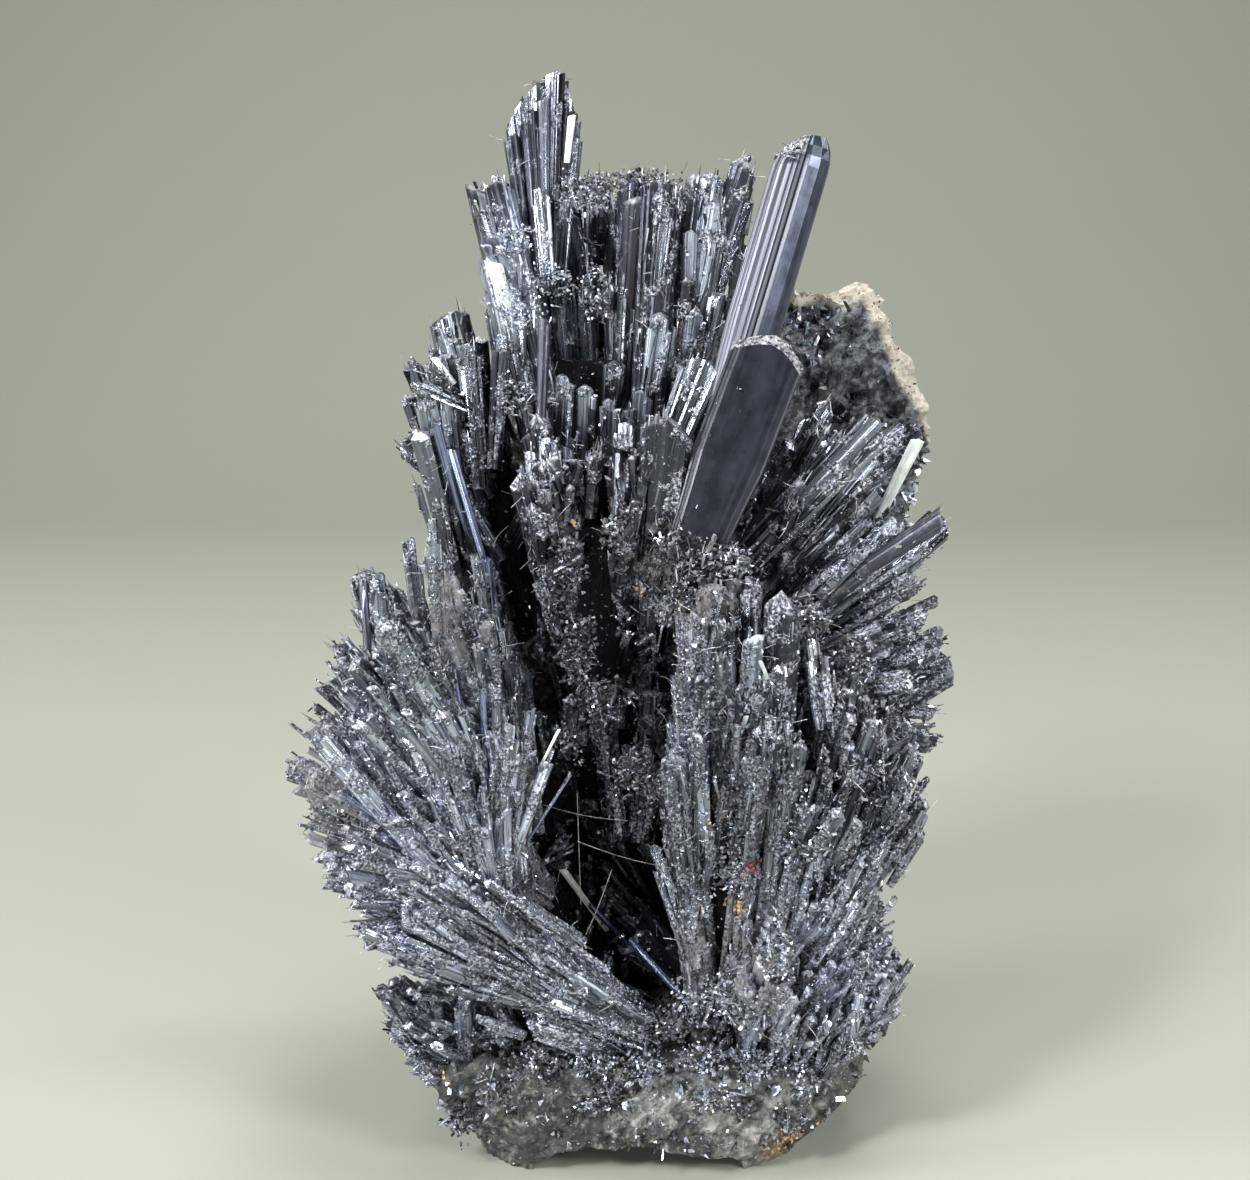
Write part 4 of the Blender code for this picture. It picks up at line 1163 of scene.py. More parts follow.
def crystal_shapes():
    """The crystals. A root picks one by its number in the sorted names."""
    draw = random.Random("shapes")
    for name, section, rise, ragged, apex in (
        ("a_ribbed_slant", RIBBED, 0.28, 0.05, (0, 0, 0.04)),
        ("b_ribbed_point", RIBBED, 0.1, 0.12, (0.12, 0, 0.55)),
        ("c_ribbed_blunt", RIBBED, -0.12, 0.07, (-0.1, 0, 0.2)),
        ("d_slim_slant", SIX_SIDED, 0.28, 0.1, (0, 0, 0.05)),
        ("e_slim_blunt", SIX_SIDED, -0.1, 0.1, (0.2, 0, 0.35)),
        ("f_slim_broken", FOUR_SIDED, 0.15, 0.25, (0, 0.1, 0.15)),
        ("g_tablet", TABLET, 0.1, 0.02, (0, 0, 0.12)),
    ):
        tops = slanted(section, rise, ragged, draw)
        if name == "g_tablet":
            tops = [top - 0.22 * x * x for top, (x, _) in zip(tops, section)]
        yield crystal_shape(name, section, tops, apex)


def hull_shape(name, points):
    """A small closed solid around these points."""
    bm = bmesh.new()
    for point in points:
        bm.verts.new(point)
    bmesh.ops.convex_hull(bm, input=bm.verts)
    bmesh.ops.delete(bm, geom=[vert for vert in bm.verts if not vert.link_faces], context="VERTS")
    bmesh.ops.recalc_face_normals(bm, faces=bm.faces)
    mesh = bpy.data.meshes.new(name)
    bm.to_mesh(mesh)
    bm.free()
    mesh.attributes.new("cap", "FLOAT", "POINT")
    return bpy.data.objects.new(name, mesh)


def grain_shapes():
    """Rough grains."""
    draw = random.Random("grains")
    for name in ("grain_a", "grain_b", "grain_c"):
        spots = [any_way(draw).normalized() for _ in range(8)]
        yield hull_shape(name, [spot * draw.uniform(0.35, 0.55) for spot in spots])


def chip_shapes():
    """Chips: tiny crystals of the crust, unit long."""
    for name, points in (
        ("chip_a_stub", (
            (0.4, 0.1, 0.1), (-0.3, 0.34, 0), (-0.16, -0.4, 0.06),
            (0.34, 0.0, 0.86), (-0.3, 0.26, 1.0), (-0.1, -0.36, 0.9))),
        ("chip_b_point", (
            (0.46, 0, 0.3), (-0.3, 0.4, 0.36), (-0.2, -0.42, 0.25), (0, 0, 0), (0.05, 0, 1))),
        ("chip_c_plate", (
            (0.7, 0.12, 0.1), (-0.5, 0.14, 0), (0, -0.12, 0.95), (0.5, -0.1, 0.7),
            (-0.2, 0.16, 0.8))),
    ):
        yield hull_shape(name, points)


def held_shapes(make):
    """The collection of what make gives, under its name."""
    return once("collections", make.__name__, lambda: collection_of(make.__name__, make()))


def direction(right, front):
    """Unit vector that leans right and to the front by these angles from upright."""
    a, b = math.radians(right), math.radians(front)
    return Vector((math.sin(a) * math.cos(b), -math.sin(b), math.cos(a) * math.cos(b)))


def crystal_frame(base, tip, roll):
    """A crystal's directions: across it, out of its face and along it."""
    axis = (tip - base).normalized()
    across = axis.cross(Vector((0, 1, 0)))
    if across.length < 0.2:
        across = axis.cross(Vector((1, 0, 0)))
    across = Matrix.Rotation(math.radians(roll), 3, axis) @ across.normalized()
    return across, axis.cross(across), axis


def sheaf_crystals(sheaf):
    """The main crystals of a sheaf: base, tip, width, thickness and roll."""
    draw = random.Random(sheaf.seed)
    across = direction(sheaf.lean[0] + 90, 0)
    for i in range(1, sheaf.count + 1):
        side = 2 * ((0.5 + i * SIDE_STEP) % 1) - 1
        front = 2 * ((0.5 + i * FRONT_STEP) % 1) - 1
        grow = direction(
            sheaf.lean[0] + side * sheaf.spread[0] + draw.uniform(-3, 3),
            sheaf.lean[1] + front * sheaf.spread[1] + draw.uniform(-3, 3),
        )
        base = Vector(sheaf.root) + across * side * sheaf.roots[0]
        base.y -= front * sheaf.roots[1]
        length = sheaf.length * (1 + side * sheaf.slope[0] + front * sheaf.slope[1])
        length *= draw.uniform(0.86, 1.04)
        width = sheaf.width * draw.uniform(0.75, 1.3)
        thickness = width * draw.uniform(0.6, 0.95)
        draw.choice(("flat", "flat", "point"))  # unused here, but it keeps the later draws in step
        yield base, base + grow * length, width, thickness, draw.uniform(-35, 35)


def loose_crystals(sheaf, number, habit, draw):
    """Short crystals that overlap like shingles over a sheaf: base and tip."""
    across = direction(sheaf.lean[0] + 90, 0)
    for _ in range(number):
        side, front = draw.uniform(-1, 1), draw.uniform(-1.15, 1.15)
        grow = direction(
            sheaf.lean[0] + side * sheaf.spread[0] + draw.uniform(-5, 5),
            sheaf.lean[1] + front * sheaf.spread[1] + draw.uniform(-6, 6),
        )
        root = Vector(sheaf.root) + across * side * sheaf.roots[0]
        root.y -= front * sheaf.roots[1]
        length = sheaf.length * (1 + side * sheaf.slope[0] + front * sheaf.slope[1])
        outer = min(1.0, abs(front))
        end = draw.uniform(0.92 - 0.66 * outer, 0.98 - 0.06 * outer)
        wild = any_way(draw) * habit.stray
        tip = root + grow * length * end
        own = min(draw.uniform(0.3, 1.0) * habit.longest, length * end)
        yield tip - (grow + wild).normalized() * own, tip


def planes_of(keep):
    """The planes that a growth keeps inside, as points and outward normals."""
    planes = []
    for name, side in keep:
        point, normal = BOUNDARIES[name]
        outward = Vector(normal).normalized() * -side
        planes.append((Vector(point) - outward * GAP / 2, outward))
    return planes


def box_planes():
    """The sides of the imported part's box, as points and outward normals."""
    planes = []
    for axis in range(3):
        for corner, sign in ((CAD_LOW, -1), (CAD_HIGH, 1)):
            outward = Vector((0, 0, 0))
            outward[axis] = sign
            spare = UNDERSIDE_SPARE if axis == 2 and sign < 0 else 0.0
            planes.append((Vector(corner) / MM - outward * spare, outward))
    return planes


def room_of(base, tip, width, thickness, roll=0.0):
    """A space along a line: its middle, directions and half sizes."""
    base, tip = Vector(base), Vector(tip)
    return base.lerp(tip, 0.5), tuple(zip(
        crystal_frame(base, tip, roll), (width / 2, thickness / 2, (tip - base).length / 2)))


def in_room(place, room, margin, ragged=0.0):
    """Whether a place is inside a space. A ragged one's sides are wavy and meet at its ends."""
    away = place - room[0]
    (across, half_width), (forward, half_depth), (axis, half_length) = room[1]
    end = abs(away.dot(axis)) / (half_length + margin)
    if end >= 1 or abs(away.dot(forward)) >= half_depth + margin:
        return False
    wavy = ragged * (1.3 * noise.noise(place / 1.5) - 0.9 * end ** 3)
    return abs(away.dot(across)) < half_width + margin + wavy


def cell_of(place):
    """The cell of space that a place is in."""
    return tuple(math.floor(part / CELL) for part in place)


class Bed:
    """Collects the crystals of one piece, each cut to the room that it has."""

    def __init__(self, rooms=()):
        self.rows = []
        self.rooms = [(room_of(*room), 0.0 if room in (PRISM, BLADE) else 1.0) for room in rooms]
        self.box = box_planes()
        self.cells = set()

    def holds(self, place):
        """Whether a crystal of this bed passes close to a place."""
        x, y, z = cell_of(place)
        near = (-1, 0, 1)
        return any((x + i, y + j, z + k) in self.cells for i in near for j in near for k in near)

    def span(self, base, tip, planes, rooms):
        """The share of a line that is free for a crystal, as its two ends, or None."""
        low, high = 0.0, 1.0
        for point, outward in (*planes, *self.box):
            start, end = (base - point).dot(outward), (tip - point).dot(outward)
            if start > 0 and end > 0:
                return None
            if start > 0:
                low = max(low, start / (start - end))
            elif end > 0:
                high = min(high, start / (start - end))
        for room, ragged in rooms:
            for step in range(ROOM_STEPS + 1):
                share = low + (high - low) * step / ROOM_STEPS
                if in_room(base.lerp(tip, share), room, 0.3, ragged):
                    high = low + (high - low) * (step - 1) / ROOM_STEPS
                    break
        return (low, high) if high > low else None

    def add(self, base, tip, width, thickness, roll, shape, tint, planes=(), crossing=False,
            loose=False):
        """Adds a crystal between two points, in millimetres.

        crossing lets it enter the rooms, and a loose one needs another crystal to sit on.
        """
        free = self.span(base, tip, planes, () if crossing else self.rooms)
        if free is None:
            return
        base, tip = base.lerp(tip, free[0]), base.lerp(tip, free[1])
        length = (tip - base).length
        if length < SHORTEST:
            return
        if loose and not any(self.holds(base.lerp(tip, share)) for share in (0.0, 0.2, 0.4)):
            return
        self.cells.update(cell_of(base.lerp(tip, k / 24)) for k in range(25))
        across, forward, axis = crystal_frame(base, tip, roll)
        turn = Matrix((across, forward, axis)).transposed().to_euler()
        self.rows.append((base, axis, tuple(turn), (width, thickness, length), shape, tint))

    def mesh(self, name, heart=None):
        """The roots as a mesh with attributes, and the heart's faces with them."""
        corners, faces = heart or ([], [])
        count, total = len(corners), len(corners) + len(self.rows)
        mesh = bpy.data.meshes.new(name)
        roots = [tuple(row[0] * MM) for row in self.rows]
        mesh.from_pydata(list(corners) + roots, [], faces)

        def store(label, kind, key, values, width, default):
            data = np.full((total, width), default, np.float32)
            if values:
                data[count:] = np.array(values, np.float32).reshape(-1, width)
            mesh.attributes.new(label, kind, "POINT").data.foreach_set(key, data.ravel())

        store("axis", "FLOAT_VECTOR", "vector", [tuple(row[1]) for row in self.rows], 3, 0)
        store("turn", "FLOAT_VECTOR", "vector", [row[2] for row in self.rows], 3, 0)
        sizes = [tuple(size * MM for size in row[3]) for row in self.rows]
        store("size", "FLOAT_VECTOR", "vector", sizes, 3, 0)
        store("girth", "FLOAT", "value", [row[3][0] for row in self.rows], 1, 1)
        store("tint", "FLOAT", "value", [row[5] for row in self.rows], 1, 0)
        shape = mesh.attributes.new("shape", "INT", "POINT")
        shape.data.foreach_set("value", [0] * count + [row[4] for row in self.rows])
        flag = mesh.attributes.new("heart", "BOOLEAN", "POINT")
        flag.data.foreach_set("value", [True] * count + [False] * len(self.rows))
        return mesh


def grow_bundle(bed, draw, crystal, habit, width, planes):
    """A main crystal: often one broad slab, with thinner ones that end at different heights."""
    base, tip, wide, thick, roll = crystal
    across, forward, _ = crystal_frame(base, tip, roll)
    shared = draw.random()
    if draw.random() < habit.slabs:
        own = wide * draw.uniform(0.5, 0.85)
        bed.add(base, base.lerp(tip, draw.uniform(0.93, 1.0)), own, own * draw.uniform(0.45, 0.7),
                roll + draw.uniform(-10, 10), draw.choice((0, 2, 6)), draw.random(), planes)
    for k in range(habit.bundle):
        radius = math.sqrt((k + 0.3) / habit.bundle) * 0.85
        x = radius * math.cos(k * GOLDEN + shared * 6) * wide / 2
        y = radius * math.sin(k * GOLDEN + shared * 6) * thick / 2
        offset = across * x + forward * y
        reach = 1.0 - 0.2 * radius * draw.random() - 0.3 * draw.random() ** 3
        end = base.lerp(tip, reach) + offset * 1.15
        own = width * habit.width * draw.uniform(0.45, 1.3)
        tint = within(0.5 * shared + 0.5 * draw.random())
        bed.add(base + offset * 0.7, end, own, own * draw.uniform(0.5, 0.9),
                roll + draw.uniform(-14, 14), draw.choice((0, 0, 1, 2, 4)), tint, planes)


def grow_collar(bed, draw, growth, planes):
    """Small crystals all over the foot that a sheaf grows from."""
    centre, radius = Vector(growth.foot[0]), growth.foot[1]
    up = direction(*growth.sheaf.lean)
    for _ in range(int(COLLAR * (radius / 5.0) ** 2)):
        way = any_way(draw).normalized()
        base = centre + way * radius * 0.55
        lean = (way + up * 0.7).normalized()
        length, width = draw.uniform(0.35, 0.75) * radius, draw.uniform(0.35, 0.8)
        bed.add(base, base + lean * length, width, width * 0.75, draw.uniform(-90, 90),
                draw.choice((3, 4, 5, 5)), draw.random(), planes)


def grow_single(bed, draw, single, width, planes=(), tints=(0.4, 0.9)):
    """A listed crystal: one wide ribbed face with slivers along its sides."""
    base, tip = Vector(single.base), Vector(single.tip)
    shape = 1 if single.top == "point" else 6 if single.top == "flat" else 2
    bed.add(base, tip, single.width * 0.92, single.thickness * 0.9, single.roll, shape,
            draw.uniform(*tints), planes, crossing=True)
    across, forward, _ = crystal_frame(base, tip, single.roll)
    for side in (-1, -0.8, 0.75, 1):
        offset = across * side * single.width * 0.46 + forward * draw.uniform(-0.7, 0.7)
        end = base.lerp(tip, draw.uniform(0.72, 0.96)) + offset
        bed.add(base + offset * 0.8, end, width * draw.uniform(0.5, 0.9), width * 0.5,
                draw.uniform(-30, 30), draw.choice((0, 2, 3)), draw.random(), planes)


def clip(bm, planes):
    """Cuts a convex body back to these planes, and closes it."""
    for point, outward in planes:
        geometry = bm.verts[:] + bm.edges[:] + bm.faces[:]
        bmesh.ops.bisect_plane(
            bm, geom=geometry, plane_co=point * MM, plane_no=outward, clear_outer=True)
        rim = [edge for edge in bm.edges if edge.is_boundary]
        if rim:
            bmesh.ops.holes_fill(bm, edges=rim, sides=0)


def heart_faces(growths):
    """Corners and faces of the close-grown middles of a spray's sheaves."""
    corners, faces = [], []
    for growth in growths:
        centre, radius = growth.foot
        bm = bmesh.new()
        bmesh.ops.create_icosphere(bm, subdivisions=1, radius=radius * FOOT_SLIM)
        points = [Vector(centre) + vert.co for vert in bm.verts]
        bm.clear()
        reach = [base.lerp(tip, CORE_SHARE) for base, tip, *_ in sheaf_crystals(growth.sheaf)]
        heart = sum(reach, Vector()) / len(reach)
        for point in points + [heart.lerp(point, CORE_SLIM) for point in reach]:
            bm.verts.new(point * MM)
        bmesh.ops.convex_hull(bm, input=bm.verts)
        bmesh.ops.delete(
            bm, geom=[vert for vert in bm.verts if not vert.link_faces], context="VERTS")
        clip(bm, planes_of(growth.keep))
        bmesh.ops.recalc_face_normals(bm, faces=bm.faces)
        bm.verts.index_update()
        start = len(corners)
        corners += [tuple(vert.co) for vert in bm.verts]
        faces += [tuple(start + vert.index for vert in face.verts) for face in bm.faces]
        bm.free()
    return corners, faces


def crystals_from(bed, name, finish, heart=None, heart_finish=None):
    """A piece of real crystals from a bed of roots."""
    obj = add_object(name, bed.mesh(name, heart))
    return run_nodes(obj, once("node_groups", "crystal_growth", growth_tree), {
        "Crystals": held_shapes(crystal_shapes), "Crystal Finish": finish,
        "Heart Finish": heart_finish or finish, "Top Height": 1.0,
    })


def inside_box(place, margin=0.0):
    """Whether a place in millimetres is this far inside the part's box."""
    return all(
        CAD_LOW[i] / MM + margin <= place[i] <= CAD_HIGH[i] / MM - margin for i in range(3))


def put_chip(bed, draw, spot, lean, length, width, tint):
    """Adds a chip that leans this way, when it stays inside the part's box."""
    if inside_box(spot, 0.25) and inside_box(spot + lean * length, 0.1):
        turn = lean.to_track_quat("Z", "Y").to_euler()
        bed.rows.append((spot, lean, tuple(turn), (width, width, length), draw.randrange(3), tint))


def chips_from(bed, name, finish, shapes=chip_shapes):
    """A piece of chips or grains from a bed of roots."""
    obj = add_object(name, bed.mesh(name))
    return run_nodes(obj, once("node_groups", "crystal_growth", growth_tree), {
        "Crystals": held_shapes(shapes), "Crystal Finish": finish, "Heart Finish": finish,
        "Top Height": 0.0})


def crystal_finish(name, *lead, **looks):
    """A finish of crystal faces, made the first time that it is asked for."""
    scene = bpy.context.scene
    return once("materials", name, lambda: stibnite_material(
        name, scene.specimen_sizes, scene.specimen_colours, *lead, **looks))


def stibnite():
    """Bright faces, worn and dusted in places."""
    return crystal_finish("stibnite_faces")


def clean_stibnite():
    """Half-matt faces without dust or wear."""
    return crystal_finish(
        "clean_stibnite", (0.17, 0.178, 0.21, 1.0), low=0.12, dull=0.35, worn=0.0, metallic=0.6,
        matt=0.14)


def dull_stibnite():
    """Greyer faces with less wear."""
    return crystal_finish("dull_stibnite_faces", (0.34, 0.37, 0.44, 1.0), worn=0.6)


def dark_stibnite():
    """Near-black faces: stibnite painted as if in shade, for the crystals of the hollow and the
    dark-looking ones.
    """
    return crystal_finish(
        "dark_stibnite_faces", (0.05, 0.053, 0.070, 1.0), low=0.4, dull=0.5, worn=0.12,
        metallic=0.6)


def crust():
    """The finish of chips and druse."""
    return once("materials", "crust", lambda: crust_material(bpy.context.scene.specimen_colours))


def frost():
    """The finish of broken tops."""
    return once(
        "materials", "frosted_top", lambda: frost_material(bpy.context.scene.specimen_colours))


# ---------------------------------------------------------------- what shows, for what settles
BARE = {  # how clean a piece is kept of what settles on the others
    "striated_prism_crystal": 0.99,
    "broad_blade_crystal": 0.95,
    "ribbed_crystals": 0.7,
    "dark_crystals": 0.8,
    "lilac_crystals": 0.8,
    "glinting_crystals": 0.95,
    "crown_wedge_blades": 0.8,
    "crown_wedge_body": 0.7,
}


def shell_of(names):
    """What shows of these pieces: a tree of faces for rays, each face's growth direction, and
    how clean it is kept.
    """
    corners, faces, ways, bare, start = [], [], [], [], 0
    for name in names:
        mesh = bpy.data.objects[name].data
        mesh.calc_loop_triangles()
        co = np.empty(len(mesh.vertices) * 3, np.float32)
        mesh.vertices.foreach_get("co", co)
        tris = np.empty(len(mesh.loop_triangles) * 3, np.int32)
        mesh.loop_triangles.foreach_get("vertices", tris)
        axis = np.zeros(len(mesh.vertices) * 3, np.float32)
        if "axis" in mesh.attributes:
            mesh.attributes["axis"].data.foreach_get("vector", axis)
        corners.append(co.reshape(-1, 3))
        faces.append(tris.reshape(-1, 3) + start)
        ways.append(axis.reshape(-1, 3)[tris.reshape(-1, 3)[:, 0]])
        bare.append(np.full(len(mesh.loop_triangles), BARE.get(name, 0.0)))
        start += len(mesh.vertices)
    tree = BVHTree.FromPolygons(
        np.concatenate(corners).tolist(), np.concatenate(faces).tolist(), all_triangles=True)
    return tree, np.concatenate(ways), np.concatenate(bare)


def settle(draw, shell, number, front_share=0.65, on_crystals=True):
    """Places that show from outside: each with its normal and its crystal's direction.

    With on_crystals, only places on the crystals of a spray count.
    """
    low, high = Vector(CAD_LOW), Vector(CAD_HIGH)
    tree, ways, bare = shell
    found = []
    while len(found) < number:
        if draw.random() < front_share:
            azimuth, elevation = draw.gauss(0, 22), draw.uniform(0, 30)
        else:
            azimuth, elevation = draw.uniform(-180, 180), draw.uniform(-10, 80)
        a, e = math.radians(azimuth), math.radians(elevation)
        back = Vector((math.sin(a) * math.cos(e), -math.cos(a) * math.cos(e), math.sin(e)))
        aim = Vector([draw.uniform(low[i], high[i]) for i in range(3)])
        place, normal, face, _ = tree.ray_cast(aim + back * 0.2, -back)
        if place is None or draw.random() < bare[face]:
            continue
        way = Vector(ways[face])
        if way.length > 0.5 or not on_crystals:
            found.append((place, normal if normal.dot(back) > 0 else -normal, way))
    return found


def near_patch(place, spots):
    """How much a place in metres is inside these round patches, from 0 to 1."""
    near = 0.0
    for centre, radius, strength in spots:
        away = (place / MM - Vector(centre)).length
        near = max(near, strength * within(1.5 - away / radius))
    return near


def dustiness(place):
    """How much dust a place in metres has caught, from 0 to 1."""
    near = max(0.22, near_patch(place, DUST_PATCHES))
    patchy = noise.noise(place / (1.6 * MM)) + 0.5 * noise.noise(place / (0.6 * MM))
    return near * within(0.55 + 1.3 * patchy)


# ---------------------------------------------------------------- operators
class SPECIMEN_OT_rock(bpy.types.Operator):
    """Makes the rock that the crystals grow from"""

    bl_idname = "specimen.rock"
    bl_label = "Rock"

    def execute(self, context):
        sizes, colours = context.scene.specimen_sizes, context.scene.specimen_colours
        bm = bmesh.new()
        bm.from_mesh(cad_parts["matrix"].data)
        bmesh.ops.remove_doubles(bm, verts=bm.verts, dist=1e-6)
        mesh = bpy.data.meshes.new("matrix_rock")
        bm.to_mesh(mesh)
        bm.free()
        obj = add_object("matrix_rock", mesh)
        remesh = obj.modifiers.new("facets", "REMESH")
        remesh.mode = "VOXEL"
        remesh.voxel_size = sizes.rock_detail
        graph = context.evaluated_depsgraph_get()
        obj.data = bpy.data.meshes.new_from_object(obj.evaluated_get(graph))
        obj.modifiers.clear()
        self.roughen(obj.data)
        obj.data.materials.clear()
        obj.data.materials.append(
            once("materials", "matrix_rock", lambda: rock_material(colours)))
        finish_piece(obj, "matrix", "matrix")
        return {"FINISHED"}

    def roughen(self, mesh):
        """Lumps, pits and grains, mostly inwards, with the underside kept flat."""
        normals = [vert.normal.copy() for vert in mesh.vertices]
        for vert, normal in zip(mesh.vertices, normals):
            place = vert.co / MM
            lump = abs(noise.noise(place / 2.6)) * 1.9
            pit = max(0.0, noise.noise(place / 1.5 + Vector((7, 3, 1))) - 0.1) * 2.2
            grain = noise.noise(place / 0.6) * 0.45
            if place.y > SLAB_FRONT + 2:
                lump += max(0.0, noise.noise(place / 7.0) + 0.15) * 5.0
            deep = min(1.0, vert.co.z / (3 * MM))
            inner = 0.4 if place.y < SLAB_FRONT + 1.5 and place.z > BASE_TOP + 1 else 1.0
            moved = vert.co - normal * (lump * 0.5 + pit + grain - 0.35) * MM * inner * deep
            if place.z < 0.45:
                moved.z = 0.0
            for axis in range(3):
                moved[axis] = within(moved[axis], CAD_LOW[axis], CAD_HIGH[axis])
            vert.co = moved


class SPECIMEN_OT_sprays(bpy.types.Operator):
    """Grows the sprays of crystals"""

    bl_idname = "specimen.sprays"
    bl_label = "Crystal sprays"

    def execute(self, context):
        sizes, colours = context.scene.specimen_sizes, context.scene.specimen_colours
        heart = once("materials", "crystal_heart", lambda: heart_material(colours))
        for name, growths in SPRAYS.items():
            habit, draw = HABITS[name], random.Random(name + " close up")
            bed = Bed((PRISM, BLADE, *CLEFTS))
            for growth in (*growths, *OVERGROWTHS.get(name, ())):
                planes = planes_of(growth.keep)
                mains = list(sheaf_crystals(growth.sheaf))
                for crystal in mains:
                    if draw.random() < BUNDLED.get(growth.sheaf.seed, 1.0):
                        grow_bundle(bed, draw, crystal, habit, sizes.crystal_width / MM, planes)
                number = int(habit.loose * len(mains) * FILL.get(growth.sheaf.seed, 1.0))
                for base, tip in loose_crystals(growth.sheaf, number, habit, draw):
                    width = sizes.loose_width / MM * habit.width * draw.uniform(0.35, 1.5)
                    bed.add(base, tip, width, width * draw.uniform(0.5, 0.9),
                            draw.uniform(-60, 60), draw.choice((3, 0, 4, 5)),
                            draw.random() ** 1.3, planes, loose=True)
                grow_collar(bed, draw, growth, planes)
                for single in growth.singles:
                    grow_single(bed, draw, single, sizes.crystal_width / MM, planes, (0.1, 0.45))
            # Each spray's crystals are painted lighter or darker, as painted light and shade.
            bed.rows = [(*row[:5], min(1.0, row[5] * habit.light)) for row in bed.rows]
            slot = SLOTS.get(name, "stibnite")
            finish = dark_stibnite() if slot == "dark_stibnite" else stibnite()
            obj = crystals_from(bed, name + "_crystals", finish, heart_faces(growths), heart)
            finish_piece(obj, slot, name)
        return {"FINISHED"}


class SPECIMEN_OT_wedge(bpy.types.Operator):
    """Makes the wedge of fine blades on the crown"""

    bl_idname = "specimen.wedge"
    bl_label = "Crown wedge"

    def execute(self, context):
        draw, bed = random.Random("wedge"), Bed()
        tips = [Vector(tip) for tip in WEDGE_TIPS]
        for i in range(WEDGE_LAYERS * WEDGE_BLADES):
            layer, nth = divmod(i, WEDGE_BLADES)
            if i % 3 == 1 and layer != WEDGE_LAYERS - 1:
                continue
            along = nth / (WEDGE_BLADES - 1) * (len(tips) - 1)
            k = min(int(along), len(tips) - 2)
            tip = tips[k].lerp(tips[k + 1], along - k)
            depth = (layer - 1) * WEDGE_THICKNESS * 0.44
            base = Vector(WEDGE_ROOT) + Vector(((along - 3) * 0.42, depth, 0.2 * along))
            tip = tip + Vector((0, depth * 1.1, 0))
            reach = draw.uniform(0.84, 0.98) if depth else draw.uniform(0.94, 0.98)
            own = draw.uniform(0.45, 0.95)
            bed.add(base, base.lerp(tip, reach), own, own * 1.1, draw.uniform(-20, 20),
                    draw.choice((0, 0, 2, 2)), draw.uniform(0.25, 0.95))
        finish_piece(crystals_from(bed, "crown_wedge_blades", dull_stibnite()), "stibnite")
        finish_piece(self.body(draw), "stibnite", "crown_wedge")
        return {"FINISHED"}

    def body(self, draw):
        """The wedge's solid middle, ribbed, with a top that follows the tips."""
        tips, count = [Vector(tip) for tip in WEDGE_TIPS], 60
        outline = []
        for i in range(count):
            angle = 2 * math.pi * i / count
            y = math.copysign(abs(math.sin(angle)) ** 0.6, math.sin(angle))
            outline.append((math.cos(angle), y * draw.uniform(0.72, 1.0)))
        heights = (0.0, 0.3, 0.55, 0.75, 0.88, 0.95, 1.0)
        rings = []
        for share in heights:
            ring = []
            for x, y in outline:
                along = (x + 1) / 2 * (len(tips) - 1)
                k = min(int(along), len(tips) - 2)
                root = Vector(WEDGE_ROOT) + Vector(((along - 3) * 0.5, 0, 0))
                place = root.lerp(tips[k].lerp(tips[k + 1], along - k), share * 0.985)
                narrow = 1.0 - 0.55 * max(0.0, (share - 0.8) / 0.2) ** 1.6
                ring.append(place + Vector((0, y * WEDGE_THICKNESS * 0.5 * narrow, 0)))
            rings.append(ring)
        around = [i / count * 16.0 for i in range(count + 1)]
        top = frost()
        return lofted("crown_wedge_body", rings, (around, heights),
                      lambda r, i: int(r >= len(heights) - 1), (dull_stibnite(), top))


def lofted(name, rings, uv_rings, slot_of, finishes):
    """A closed body through rings of points, with its growth map. slot_of picks each finish."""
    count = len(rings[0])
    corners = [tuple(point * MM) for ring in rings for point in ring]
    faces, places, slots = [], [], []
    for r in range(len(rings) - 1):
        for i in range(count):
            j = (i + 1) % count
            faces.append((r * count + i, r * count + j, (r + 1) * count + j, (r + 1) * count + i))
            u0, u1 = uv_rings[0][i], uv_rings[0][i + 1]
            v0, v1 = uv_rings[1][r], uv_rings[1][r + 1]
            places += [(u0, v0), (u1, v0), (u1, v1), (u0, v1)]
            slots.append(slot_of(r, i))
    top = len(corners)
    last = (len(rings) - 1) * count
    corners.append(tuple(sum(rings[-1], Vector()) / count * MM))
    for i in range(count):
        faces.append((last + i, last + (i + 1) % count, top))
        places += [(uv_rings[0][i], 1.0), (uv_rings[0][i + 1], 1.0), (uv_rings[0][i], 1.05)]
        slots.append(slot_of(len(rings), i))
    faces.append(tuple(range(count))[::-1])
    places += [(uv_rings[0][i], 0.0) for i in reversed(range(count))]
    slots.append(0)
    mesh = bpy.data.meshes.new(name)
    mesh.from_pydata(corners, [], faces)
    layer = mesh.uv_layers.new(name="growth")
    layer.data.foreach_set("uv", np.array(places, np.float32).ravel())
    for label, value in (("tint", 0.75), ("girth", 1.0)):
        data = mesh.attributes.new(label, "FLOAT", "POINT").data
        data.foreach_set("value", [value] * len(mesh.vertices))
    for finish in finishes:
        mesh.materials.append(finish)
    mesh.polygons.foreach_set("material_index", slots)
    bm = bmesh.new()
    bm.from_mesh(mesh)
    bmesh.ops.recalc_face_normals(bm, faces=bm.faces)
    bm.to_mesh(mesh)
    bm.free()
    return add_object(name, mesh)


